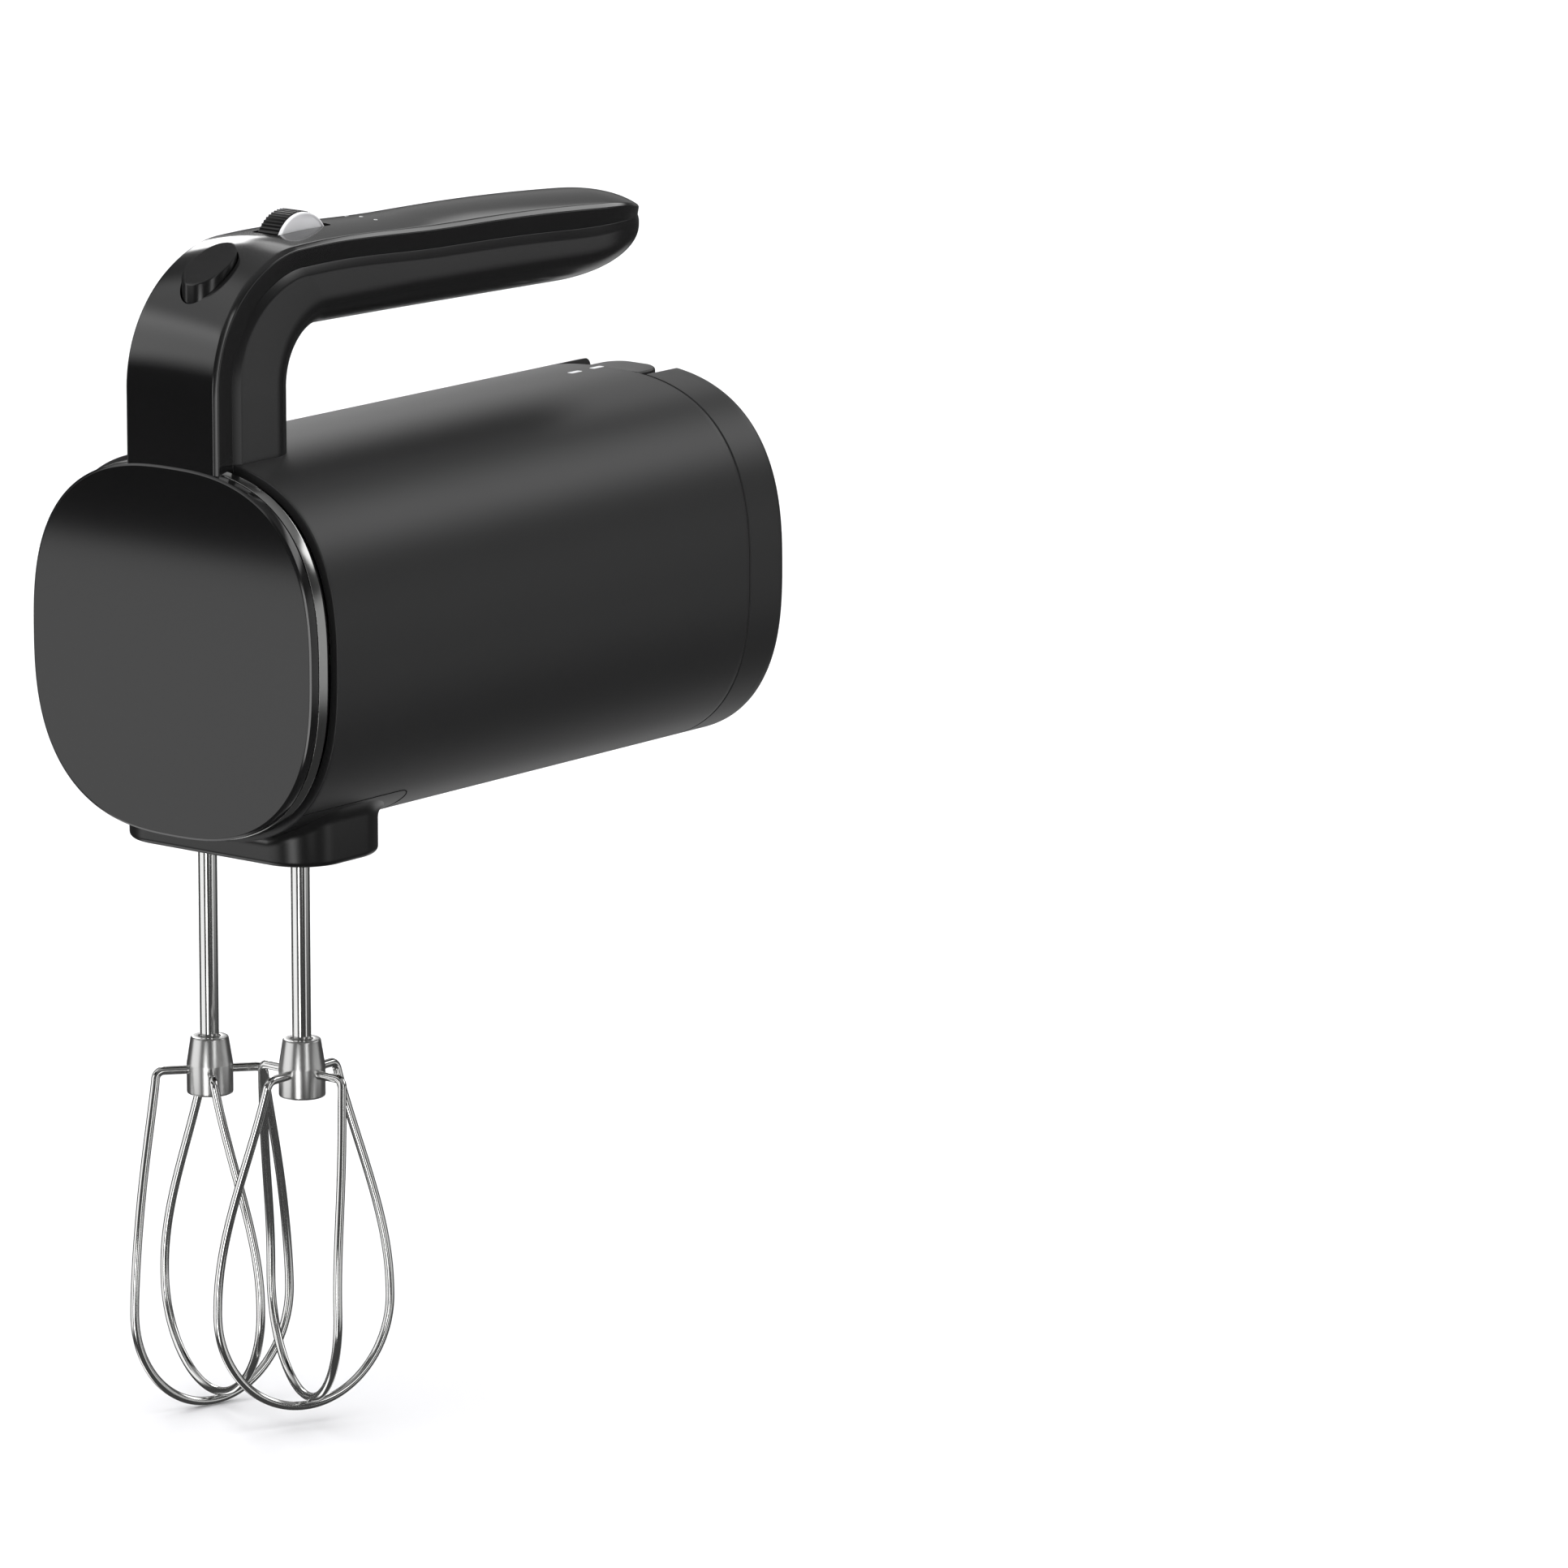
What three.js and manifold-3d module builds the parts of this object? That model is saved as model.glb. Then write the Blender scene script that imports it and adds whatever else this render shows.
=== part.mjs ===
// Cordless hand mixer with two wire beaters, as an assembly of separate pieces.
// Millimetres, +Z up. The front is -Y, the rear is +Y, and X runs from side to side.
// Design origin: the middle of the front face, on the axis of the housing.
// The last lines move the whole group, so that the origin is under the middle of its box.
import * as THREE from 'three';
import { mergeVertices } from 'three/addons/utils/BufferGeometryUtils.js';
import Module from 'manifold-3d';

const wasm = await Module();
wasm.setup();

// ---- driving dimensions -------------------------------------------------------------
const gap = 0.3;                       // between pieces that touch
const housing = { halfWidth: 51, halfHeight: 51.8, power: 2.6, wall: 2.5, rear: 196.5 };
const sleeve = { front: 8.8, rear: 180.8 };
const cover = { halfWidth: 50, halfHeight: 50.6, depth: 6, plate: 2.4, wall: 2.4, bevel: 1 };
const groove = { inset: 2.8 };
const column = { halfWidth: 16.2, front: 0.5, rear: 35.9, top: 70 };
const bend = { outerRadius: 35.4, innerRadius: 14.5 };
const grip = { halfWidth: 14.2, crest: 106.4, crestAt: 94, underFront: 81.8, underRear: 79.6 };
const crown = { column: 0.2, bend: 0.8, grip: 2.8, fullAt: 110 };
const tail = { start: 151, topStart: 166, end: 187.8, level: 95.6, topFall: 0.00056 };
const seam = { depth: 7.8, chamferTop: 2.4, chamferEnd: 10.7, inset: 1, fullDepth: 25 };
const shellWall = 2.5;
const button = { y: 17.1, z: 102.2, halfWidth: 6.6, halfLength: 8.2, rise: 0.568, bottom: 80 };
const dial = { y: 50, z: 101.6, radius: 10.5, width: 8.4 };
const lamps = { y: 78.3, pitch: 5.1, radius: 0.8 };
const collar = { halfWidth: 35.5, halfLength: 18.8, corner: 14, bottom: -57.3, top: -40 };
const beater = { offset: 16.55, y: 32.3, shaftRadius: 2.55, top: 6, lift: 4.2, armLevel: -121.9 };
const wire = { radius: 1.2, arm: 14.9, corner: 2.4, deepest: 92.7, crossing: 3, apart: 85.5,
  twist: 27, twistDepth: 60, sides: 6, halfSteps: 24 };
const cage = { widest: 25.6, widestAt: 0.69, ease: 0.44 };
const hub = { top: 5.1, radius: 6.3, above: 9.2, below: 6.6 };
const spindle = { radius: 6, bore: 4.6, bottom: -55.6, top: 13 };
const worm = { pitchRadius: 5, starts: 2, from: 24, to: 40.6, root: 3.9, crest: 5.7 };
const gear = { teeth: 24, pitchRadius: 11.55, root: 10.6, tip: 12.25, halfFace: 5 };
const motor = { radius: 19, front: 56, rear: 106, shaftRadius: 1.6 };
const pack = { halfWidth: 34, halfHeight: 21, front: 116, rear: 181.1, wall: 2 };
const cell = { radius: 9.2, length: 65, pitch: 20.5, front: 119.5 };
const notch = { left: -18.6, right: 13.6, floor: 46.6, pocket: 43 };

const group = new THREE.Group();

// ---- finishes -----------------------------------------------------------------------
const finish = (color, roughness, metalness = 0) =>
  new THREE.MeshStandardMaterial({ color, roughness, metalness });
const glossBlack = () => finish(0x141414, 0.18);
const satinBlack = () => finish(0x242424, 0.42);
const darkFace = () => finish(0x2c2c2c, 0.3);
const steel = () => finish(0xc4c4c2, 0.16, 1);
const castMetal = () => finish(0x8d8f90, 0.5, 1);
const darkRubber = () => finish(0x101010, 0.8);
const nylon = () => finish(0xd8d4c8, 0.45);
const copper = () => finish(0xb87333, 0.35, 1);
const board = () => finish(0x1f5a33, 0.5);
const white = () => finish(0xf2f2f0, 0.4);
const cellWrap = () => finish(0x2f6ea8, 0.4);

// ---- solids -------------------------------------------------------------------------
// Twice the signed volume of a triangle mesh decides whether its faces point outwards.
function pointsInward(positions, index) {
  const [a, b, c] = [new THREE.Vector3(), new THREE.Vector3(), new THREE.Vector3()];
  let total = 0;
  for (let i = 0; i < index.length; i += 3) {
    a.fromArray(positions, 3 * index[i]);
    b.fromArray(positions, 3 * index[i + 1]);
    c.fromArray(positions, 3 * index[i + 2]);
    total += a.dot(b.cross(c));
  }
  return total < 0;
}

function solid(geometry) {
  const bare = geometry.clone();
  bare.deleteAttribute('normal');
  bare.deleteAttribute('uv');
  const merged = mergeVertices(bare, 1e-4);
  const vertProperties = Float32Array.from(merged.attributes.position.array);
  const triVerts = Uint32Array.from(merged.index.array);
  if (pointsInward(vertProperties, triVerts)) triVerts.reverse();
  return new wasm.Manifold(new wasm.Mesh({ numProp: 3, vertProperties, triVerts }));
}

function add(name, body, material) {
  const { vertProperties, triVerts } = body.getMesh();
  const geometry = new THREE.BufferGeometry();
  geometry.setAttribute('position', new THREE.BufferAttribute(vertProperties, 3));
  geometry.setIndex(new THREE.BufferAttribute(triVerts, 1));
  geometry.computeVertexNormals();
  const mesh = new THREE.Mesh(geometry, material);
  mesh.name = name;
  group.add(mesh);
}

// Prisms along Z from an outline in (x, y), and along Y from an outline in (x, z).
function prismZ(outline, from, to) {
  const shape = new THREE.ExtrudeGeometry(outline, { depth: to - from, bevelEnabled: false });
  return solid(shape.translate(0, 0, from));
}

function prismY(outline, from, to) {
  const shape = new THREE.ExtrudeGeometry(outline, { depth: to - from, bevelEnabled: false });
  return solid(shape.rotateX(Math.PI / 2).translate(0, to, 0));
}

function box(low, high) {
  const size = high.map((value, i) => value - low[i]);
  const middle = high.map((value, i) => (value + low[i]) / 2);
  return solid(new THREE.BoxGeometry(...size).translate(...middle));
}

// Round solids: points are [radius, distance along the axis].
function turned(points, axis, at, segments = 28) {
  const profile = points.map(([r, h]) => new THREE.Vector2(r, h));
  const shape = new THREE.LatheGeometry(profile, segments);
  if (axis === 'z') shape.rotateX(Math.PI / 2);
  if (axis === 'x') shape.rotateZ(-Math.PI / 2);
  return solid(shape.translate(...at));
}

const rod = (radius, from, to, axis, at, segments) =>
  turned([[0, from], [radius, from], [radius, to], [0, to]], axis, at, segments);
const pipe = (inner, outer, from, to, axis, at, segments) =>
  turned([[inner, from], [outer, from], [outer, to], [inner, to], [inner, from]],
    axis, at, segments);

// A closed skin through rings of the same number of points, with a flat cap at each end.
function loft(rings) {
  const count = rings[0].length;
  const positions = rings.flat().flatMap((p) => p.toArray());
  const index = [];
  for (let ring = 0; ring < rings.length - 1; ring += 1) {
    for (let i = 0; i < count; i += 1) {
      const a = ring * count + i;
      const b = ring * count + ((i + 1) % count);
      index.push(a, b, a + count, b, b + count, a + count);
    }
  }
  for (const [ring, flip] of [[0, true], [rings.length - 1, false]]) {
    const middle = rings[ring].reduce((sum, p) => sum.add(p), new THREE.Vector3());
    const centre = positions.length / 3;
    positions.push(...middle.divideScalar(count).toArray());
    for (let i = 0; i < count; i += 1) {
      const a = ring * count + i;
      const b = ring * count + ((i + 1) % count);
      index.push(...(flip ? [centre, b, a] : [centre, a, b]));
    }
  }
  const geometry = new THREE.BufferGeometry();
  geometry.setAttribute('position', new THREE.Float32BufferAttribute(positions, 3));
  geometry.setIndex(index);
  return solid(geometry);
}

// A round tube along a curve.
function tube(curve, radius, sides, steps) {
  const section = new THREE.Shape();
  for (let i = 0; i < sides; i += 1) {
    const angle = (2 * Math.PI * i) / sides;
    const point = [radius * Math.cos(angle), radius * Math.sin(angle)];
    if (i === 0) section.moveTo(...point);
    else section.lineTo(...point);
  }
  section.closePath();
  return solid(new THREE.ExtrudeGeometry(section, { steps, extrudePath: curve }));
}

class Path extends THREE.Curve {
  constructor(place) {
    super();
    this.place = place;
  }

  getPoint(t, target = new THREE.Vector3()) {
    return target.copy(this.place(t));
  }

  getUtoTmapping(u) {
    return u;
  }
}

// ---- outlines -----------------------------------------------------------------------
function superellipse(a, b, power, count) {
  const points = [];
  for (let i = 0; i < count; i += 1) {
    const t = (2 * Math.PI * i) / count;
    const reach = (Math.abs(Math.cos(t)) ** power + Math.abs(Math.sin(t)) ** power)
      ** (-1 / power);
    points.push(new THREE.Vector2(a * reach * Math.cos(t), b * reach * Math.sin(t)));
  }
  return new THREE.Shape(points);
}

const housingOutline = (inset) => superellipse(
  housing.halfWidth - inset, housing.halfHeight - inset, housing.power, 48);
const coverOutline = (inset) => superellipse(
  cover.halfWidth - inset, cover.halfHeight - inset, housing.power, 48);

function roundedRectangle(halfWidth, halfLength, corner, x = 0, y = 0, arcSteps = 6) {
  const points = [];
  for (let quarter = 0; quarter < 4; quarter += 1) {
    const sx = quarter === 0 || quarter === 3 ? 1 : -1;
    const sy = quarter < 2 ? 1 : -1;
    for (let i = 0; i <= arcSteps; i += 1) {
      const angle = (Math.PI / 2) * (quarter + i / arcSteps);
      points.push(new THREE.Vector2(
        x + sx * (halfWidth - corner) + corner * Math.cos(angle),
        y + sy * (halfLength - corner) + corner * Math.sin(angle)));
    }
  }
  return new THREE.Shape(points);
}

// ---- handle -------------------------------------------------------------------------
// The handle follows two profiles in the middle plane, its outside and its underside.
// A station joins one point of each. Column, bend, grip and tail follow one another.
const outerCentre = { y: column.front + bend.outerRadius, z: column.top };
const innerCentre = { y: column.rear + bend.innerRadius, z: grip.underFront - bend.innerRadius };

function crestHeight(y) {
  const frontFall = (grip.crest - outerCentre.z - bend.outerRadius)
    / (grip.crestAt - outerCentre.y) ** 2;
  const onGrip = (place) => grip.crest
    - (place < grip.crestAt ? frontFall : tail.topFall) * (place - grip.crestAt) ** 2;
  if (y < tail.topStart) return onGrip(y);
  const reach = (y - tail.topStart) / (tail.end + 0.1 - tail.topStart);
  return tail.level + (onGrip(tail.topStart) - tail.level) * Math.sqrt(1 - reach ** 2);
}

function undersideHeight(y) {
  const slope = (grip.underRear - grip.underFront) / (tail.start - innerCentre.y);
  if (y < tail.start) return grip.underFront + slope * (y - innerCentre.y);
  const reach = (y - tail.start) / (tail.end + 0.1 - tail.start);
  return tail.level - (tail.level - grip.underRear) * (1 - reach ** 1.7) ** (1 / 1.7);
}

function gripHalfWidth(y) {
  const start = tail.topStart - 5;
  if (y < start) return grip.halfWidth;
  const reach = (y - start) / (tail.end + 0.4 - start);
  return grip.halfWidth * (1 - reach ** 2.3) ** (1 / 2.3);
}

function station(outer, inner, halfWidth, rise) {
  const outerPoint = new THREE.Vector3(0, outer[0], outer[1]);
  const depth = Math.hypot(inner[0] - outer[0], inner[1] - outer[1]);
  const down = new THREE.Vector3(0, inner[0] - outer[0], inner[1] - outer[1]).normalize();
  return { outerPoint, down, depth, halfWidth, rise };
}

function handleStations(bottom, end) {
  const stations = [];
  const taper = (t) => column.halfWidth + (grip.halfWidth - column.halfWidth) * t;
  const crownAt = (y) => {
    const t = THREE.MathUtils.smoothstep(y, outerCentre.y, crown.fullAt);
    return crown.bend + (crown.grip - crown.bend) * t;
  };
  for (const z of [bottom, innerCentre.z]) {
    const outerZ = z === bottom ? bottom : outerCentre.z;
    stations.push(station([column.front, outerZ], [column.rear, z], column.halfWidth,
      crown.column));
  }
  const bendSteps = 9;
  for (let i = 1; i <= bendSteps; i += 1) {
    const angle = Math.PI * (1 - i / (2 * bendSteps));
    const [c, s] = [Math.cos(angle), Math.sin(angle)];
    const t = i / bendSteps;
    stations.push(station(
      [outerCentre.y + bend.outerRadius * c, outerCentre.z + bend.outerRadius * s],
      [innerCentre.y + bend.innerRadius * c, innerCentre.z + bend.innerRadius * s],
      taper(0.7 * t), crown.column + (crown.bend - crown.column) * t));
  }
  const gripSteps = 5;
  const meet = tail.start;
  for (let i = 1; i <= gripSteps; i += 1) {
    const t = i / gripSteps;
    const outerY = outerCentre.y + (meet - outerCentre.y) * t;
    const innerY = innerCentre.y + (meet - innerCentre.y) * t;
    stations.push(station([outerY, crestHeight(outerY)], [innerY, undersideHeight(innerY)],
      taper(0.7 + 0.3 * Math.min(1, 3 * t)), crownAt(outerY)));
  }
  const tailSteps = end > meet ? 9 : 0;
  for (let i = 1; i <= tailSteps; i += 1) {
    const y = meet + (end - meet) * Math.sin((Math.PI / 2) * (i / tailSteps));
    stations.push(station([y, crestHeight(y)], [y, undersideHeight(y)],
      gripHalfWidth(y), (crown.grip * gripHalfWidth(y)) / grip.halfWidth));
  }
  return stations;
}

// Section points are [share of half width, inset, depth from the outside].
function sweptHandle(section, stations) {
  return loft(stations.map((place) => {
    const scale = Math.min(1, place.depth / seam.fullDepth);
    return section(place, scale).map(([x, depth]) => new THREE.Vector3(x, 0, 0)
      .add(place.outerPoint).addScaledVector(place.down, depth));
  }));
}

function coverSection({ halfWidth, rise }, scale) {
  const edge = halfWidth - 0.7 * scale;
  const right = [];
  for (let i = 0; i <= 4; i += 1) {
    const x = (edge * i) / 4;
    right.push([x, rise * (x / edge) ** 2]);
  }
  right.push([halfWidth, rise + seam.chamferTop * scale * 0.6]);
  right.push([halfWidth - seam.inset * scale, seam.depth * scale + rise * 0.5]);
  const left = right.slice(1).reverse().map(([x, depth]) => [-x, depth]);
  return [...right, ...left];
}

function gripSection({ halfWidth, rise, depth }, scale) {
  const top = (seam.depth + gap) * scale + rise * 0.5;
  const round = Math.min(9, depth * 0.36);
  const right = [[halfWidth - seam.inset * scale, top],
    [halfWidth, seam.chamferEnd * scale + rise * 0.5]];
  for (let i = 0; i <= 5; i += 1) {
    const angle = (Math.PI / 2) * (i / 5);
    right.push([halfWidth - (halfWidth - 0.2) * (1 - Math.cos(angle) ** 0.8),
      depth - round + round * Math.sin(angle) ** 0.8]);
  }
  const left = right.slice().reverse().map(([x, down]) => [-x, down]);
  return [...right, ...left];
}

function cavitySection({ halfWidth, rise, depth }) {
  const side = halfWidth - shellWall;
  const roof = shellWall + rise;
  const floor = depth - shellWall;
  return [[side * 0.5, roof - rise * 0.6], [side, roof + 1.5], [side, floor - 6],
    [side - 4, floor], [4 - side, floor], [-side, floor - 6], [-side, roof + 1.5],
    [-side * 0.5, roof - rise * 0.6]];
}

const handleFoot = 44;
const wholeHousing = prismY(housingOutline(-gap), -5, housing.rear);
const cavity = sweptHandle(cavitySection, handleStations(handleFoot - 4, tail.start));
const ellipse = (grow) => superellipse(
  button.halfWidth + grow, button.halfLength + grow, 2, 24);
const buttonHole = prismZ(ellipse(0.5), 76, 120).translate([0, button.y, 0]);
const dialSlot = box([-dial.width / 2 - 0.5, dial.y - dial.radius - 1, 84],
  [dial.width / 2 + 0.5, dial.y + dial.radius + 1, 120]);

const dialPocket = box([-9.6, dial.y - 6, 84], [9.6, dial.y + 6, dial.z + 1.5]);

let topCover = sweptHandle(coverSection, handleStations(handleFoot, tail.end))
  .subtract(wholeHousing).subtract(cavity).subtract(buttonHole).subtract(dialSlot)
  .subtract(dialPocket);
for (const side of [-1, 0, 1]) {
  const hole = rod(lamps.radius + 0.25, 90, 112, 'z', [side * lamps.pitch, lamps.y, 0], 10);
  topCover = topCover.subtract(hole);
}
add('handle_top_cover', topCover, glossBlack());
add('handle_grip_shell', sweptHandle(gripSection, handleStations(handleFoot, tail.end))
  .subtract(wholeHousing).subtract(cavity), satinBlack());

// ---- housing ------------------------------------------------------------------------
const collarOutline = (grow) => roundedRectangle(collar.halfWidth + grow,
  collar.halfLength + grow, collar.corner, 0, beater.y);
const rodOpening = box([-9, 11, 40], [9, 29, 60]);

add('barrel_sleeve', prismY(housingOutline(0), sleeve.front, sleeve.rear)
  .subtract(prismY(housingOutline(housing.wall), sleeve.front - 1, sleeve.rear + 1))
  .subtract(prismZ(collarOutline(gap), -70, -20))
  .subtract(rodOpening), satinBlack());

const coverRing = (inset, y) => coverOutline(inset).getPoints()
  .map((point) => new THREE.Vector3(point.x, y, point.y));
add('front_cover', loft([coverRing(cover.bevel, 0), coverRing(0, cover.bevel),
  coverRing(0, cover.depth)])
  .subtract(prismY(coverOutline(cover.wall), cover.plate, cover.depth + 1)), darkFace());

add('front_gasket', prismY(housingOutline(groove.inset), cover.depth + gap,
  sleeve.front - gap)
  .subtract(prismY(housingOutline(groove.inset + 2.5), 0, 20)), darkRubber());

const boreCut = (radius) => beaterPlaces().map(({ x }) =>
  rod(radius, -80, 60, 'z', [x, beater.y, 0]));

function beaterPlaces() {
  return [{ side: 'left', x: -beater.offset, turn: 1 }, { side: 'right', x: beater.offset, turn: -1 }];
}

let collarBody = prismZ(collarOutline(0), collar.bottom, collar.top);
for (const bore of boreCut(9)) collarBody = collarBody.subtract(bore);
add('collar_housing', collarBody, satinBlack());

// ---- gearbox ------------------------------------------------------------------------
const frameFloor = { low: -17, high: -12 };
const frameTop = 13.2;
let frame = box([-34, 12, frameFloor.low], [34, 54, frameFloor.high])
  .add(box([-34, 12, frameFloor.low], [34, 15, frameTop]))
  .add(box([-34, 51, frameFloor.low], [34, 54, frameTop]));
for (const { x } of beaterPlaces()) {
  frame = frame.add(rod(9.5, collar.top + gap, frameFloor.low + 1, 'z', [x, beater.y, 0]));
}
for (const bore of boreCut(spindle.radius + 0.4)) frame = frame.subtract(bore);
const shaftBore = rod(3, 0, 60, 'y', [0, 0, 0], 20);
const bearingBore = rod(6.3, 11, 16, 'y', [0, 0, 0], 24);
const screwPlaces = [[-30.5, 13.5], [30.5, 13.5], [-30.5, 52.5], [30.5, 52.5]];
frame = frame.subtract(shaftBore).subtract(bearingBore);
for (const [x, y] of screwPlaces) {
  frame = frame.subtract(rod(1, frameTop - 9, frameTop + 1, 'z', [x, y, 0], 12));
}
add('gearbox_frame', frame, castMetal());
add('worm_bearing', pipe(1.9, 6, 12.1, 15.9, 'y', [0, 0, 0], 24), steel());

const lidTop = frameTop + gap + 3;
let lid = box([-34, 12, frameTop + gap], [34, 54, lidTop]);
for (const bore of boreCut(spindle.radius + 0.5)) lid = lid.subtract(bore);
for (const [x, y] of screwPlaces) {
  lid = lid.subtract(rod(1.3, 0, 30, 'z', [x, y, 0], 12));
}
add('gearbox_lid', lid, castMetal());
screwPlaces.forEach(([x, y], i) => {
  add(`gearbox_screw_${i + 1}`, turned([[0, frameTop - 6], [0.75, frameTop - 6],
    [0.75, lidTop + gap], [1.5, lidTop + gap], [1.5, lidTop + 1.6], [0, lidTop + 1.6]],
  'z', [x, y, 0], 10), steel());
});

for (const { side, x, turn } of beaterPlaces()) {
  add(`spindle_bush_${side}`, pipe(spindle.radius + 0.3, 9 - gap, collar.bottom + 1, -44,
    'z', [x, beater.y, 0]), nylon());
  add(`spindle_${side}`, pipe(spindle.bore, spindle.radius, spindle.bottom, spindle.top,
    'z', [x, beater.y, 0], 24), steel());
  add(`gear_${side}`, helicalGear(turn).translate([x, beater.y, 0]), nylon());
}

// A helical gear whose tooth gap faces the worm. Its twist follows the worm's lead angle.
function helicalGear(turn) {
  const leadAngle = Math.atan((worm.starts * wormPitch()) / (2 * Math.PI * worm.pitchRadius));
  const facing = turn > 0 ? 0 : Math.PI;
  const rings = [];
  for (let k = 0; k <= 3; k += 1) {
    const z = gear.halfFace * (2 * (k / 3) - 1);
    const twist = (z * Math.tan(leadAngle)) / gear.pitchRadius;
    const ring = [];
    for (let tooth = 0; tooth < gear.teeth; tooth += 1) {
      const corners = [[0.15, gear.root], [0.35, gear.tip], [0.65, gear.tip], [0.85, gear.root]];
      for (const [share, radius] of corners) {
        const angle = facing + twist + (2 * Math.PI * (tooth + share)) / gear.teeth;
        ring.push(new THREE.Vector3(radius * Math.cos(angle), radius * Math.sin(angle), z));
      }
    }
    rings.push(ring);
  }
  return loft(rings).subtract(rod(spindle.radius + gap, -10, 10, 'z', [0, 0, 0], 24));
}

function wormPitch() {
  return (2 * Math.PI * gear.pitchRadius) / gear.teeth;
}

// ---- motor --------------------------------------------------------------------------
function wormBody() {
  const lead = worm.starts * wormPitch();
  const stepsPerTurn = 12;
  const count = Math.round(((worm.to - worm.from) / lead) * stepsPerTurn);
  const rings = [];
  for (let k = 0; k <= count; k += 1) {
    const y = worm.from + ((worm.to - worm.from) * k) / count;
    const turn = (2 * Math.PI * (y - beater.y)) / lead;
    const ring = [];
    for (let start = 0; start < worm.starts; start += 1) {
      const corners = [[-0.1, worm.crest], [0.1, worm.crest], [0.22, worm.root],
        [0.41, worm.root], [0.59, worm.root], [0.78, worm.root]];
      for (const [share, radius] of corners) {
        const angle = turn + (2 * Math.PI * (start + share)) / worm.starts;
        ring.push(new THREE.Vector3(
          radius * Math.cos(angle), y, -radius * Math.sin(angle)));
      }
    }
    rings.push(ring);
  }
  return loft(rings).subtract(rod(motor.shaftRadius + gap, 0, 60, 'y', [0, 0, 0], 14));
}
add('worm', wormBody(), steel());
add('motor_shaft', rod(motor.shaftRadius, 12.5, motor.rear + 7, 'y', [0, 0, 0], 14), steel());

add('motor_can', turned([[3.2, motor.front], [motor.radius, motor.front],
  [motor.radius, motor.rear - 6], [motor.radius - 1.6, motor.rear - 6],
  [motor.radius - 1.6, motor.front + 1.6], [3.2, motor.front + 1.6], [3.2, motor.front]],
'y', [0, 0, 0], 32), steel());
add('motor_end_cap', turned([[3.2, motor.rear - 6 + gap], [motor.radius, motor.rear - 6 + gap],
  [motor.radius, motor.rear - 2], [3.2, motor.rear - 2], [3.2, motor.rear - 6 + gap]],
'y', [0, 0, 0], 32), finish(0x1c1c1c, 0.5));

function rotorCore() {
  const outer = 14.5;
  let core = pipe(motor.shaftRadius + gap, outer, motor.front + 8, motor.front + 32,
    'y', [0, 0, 0], 30);
  for (let slot = 0; slot < 5; slot += 1) {
    const cut = box([-1.4, motor.front, 9], [1.4, motor.rear, outer + 2]);
    core = core.subtract(cut.rotate([0, 72 * slot, 0]));
  }
  return core;
}
add('rotor_core', rotorCore(), copper());
add('commutator', pipe(motor.shaftRadius + gap, 4.5, motor.front + 34, motor.front + 42,
  'y', [0, 0, 0], 20), copper());

function coolingFan() {
  let fan = pipe(motor.shaftRadius + gap, 5, motor.rear - 1, motor.rear + 6,
    'y', [0, 0, 0], 20);
  for (let blade = 0; blade < 7; blade += 1) {
    const vane = box([-0.6, motor.rear - 0.5, 4], [0.6, motor.rear + 5.5, 15]);
    fan = fan.add(vane.rotate([0, (360 / 7) * blade, 0]));
  }
  return fan;
}
add('cooling_fan', coolingFan(), darkRubber());

// ---- beaters ------------------------------------------------------------------------
// Radius of the cage against depth below the arms: it swells, then closes at the bottom.
function cageRadius(share) {
  if (share < cage.widestAt) {
    const t = share / cage.widestAt;
    const swell = (1 - cage.ease) * Math.sin((Math.PI / 2) * t)
      + cage.ease * (3 * t * t - 2 * t * t * t);
    return wire.arm + (cage.widest - wire.arm) * swell;
  }
  const t = (share - cage.widestAt) / (1 - cage.widestAt);
  return cage.widest * Math.sqrt(Math.max(0, 1 - t ** 2));
}

// Half of a bent wire as [radius, depth], from the hub to the point under the axis.
function wireProfile(step, drop) {
  const corner = wire.corner;
  if (step < 1) return [hub.radius + gap + (wire.arm - corner - hub.radius - gap) * step, 0];
  if (step < 4) {
    const angle = ((step - 1) / 3) * (Math.PI / 2);
    return [wire.arm - corner + corner * Math.sin(angle), corner * (1 - Math.cos(angle))];
  }
  const t = (step - 4) / (wire.halfSteps - 4);
  const share = t < 0.6 ? (t / 0.6) * cage.widestAt
    : cage.widestAt + (1 - cage.widestAt) * Math.sin(((t - 0.6) / 0.4) * (Math.PI / 2));
  return [cageRadius(share), corner + share * (drop - corner)];
}

function wirePoint(t, facing, turn, drop) {
  const side = t < 0.5 ? 1 : -1;
  const [radius, depth] = wireProfile((1 - Math.abs(2 * t - 1)) * wire.halfSteps, drop);
  const angle = facing + turn * THREE.MathUtils.degToRad(wire.twist)
    * Math.sin(Math.min(1, depth / wire.twistDepth) * (Math.PI / 2));
  return new THREE.Vector3(side * radius * Math.cos(angle), side * radius * Math.sin(angle),
    -depth);
}

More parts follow.
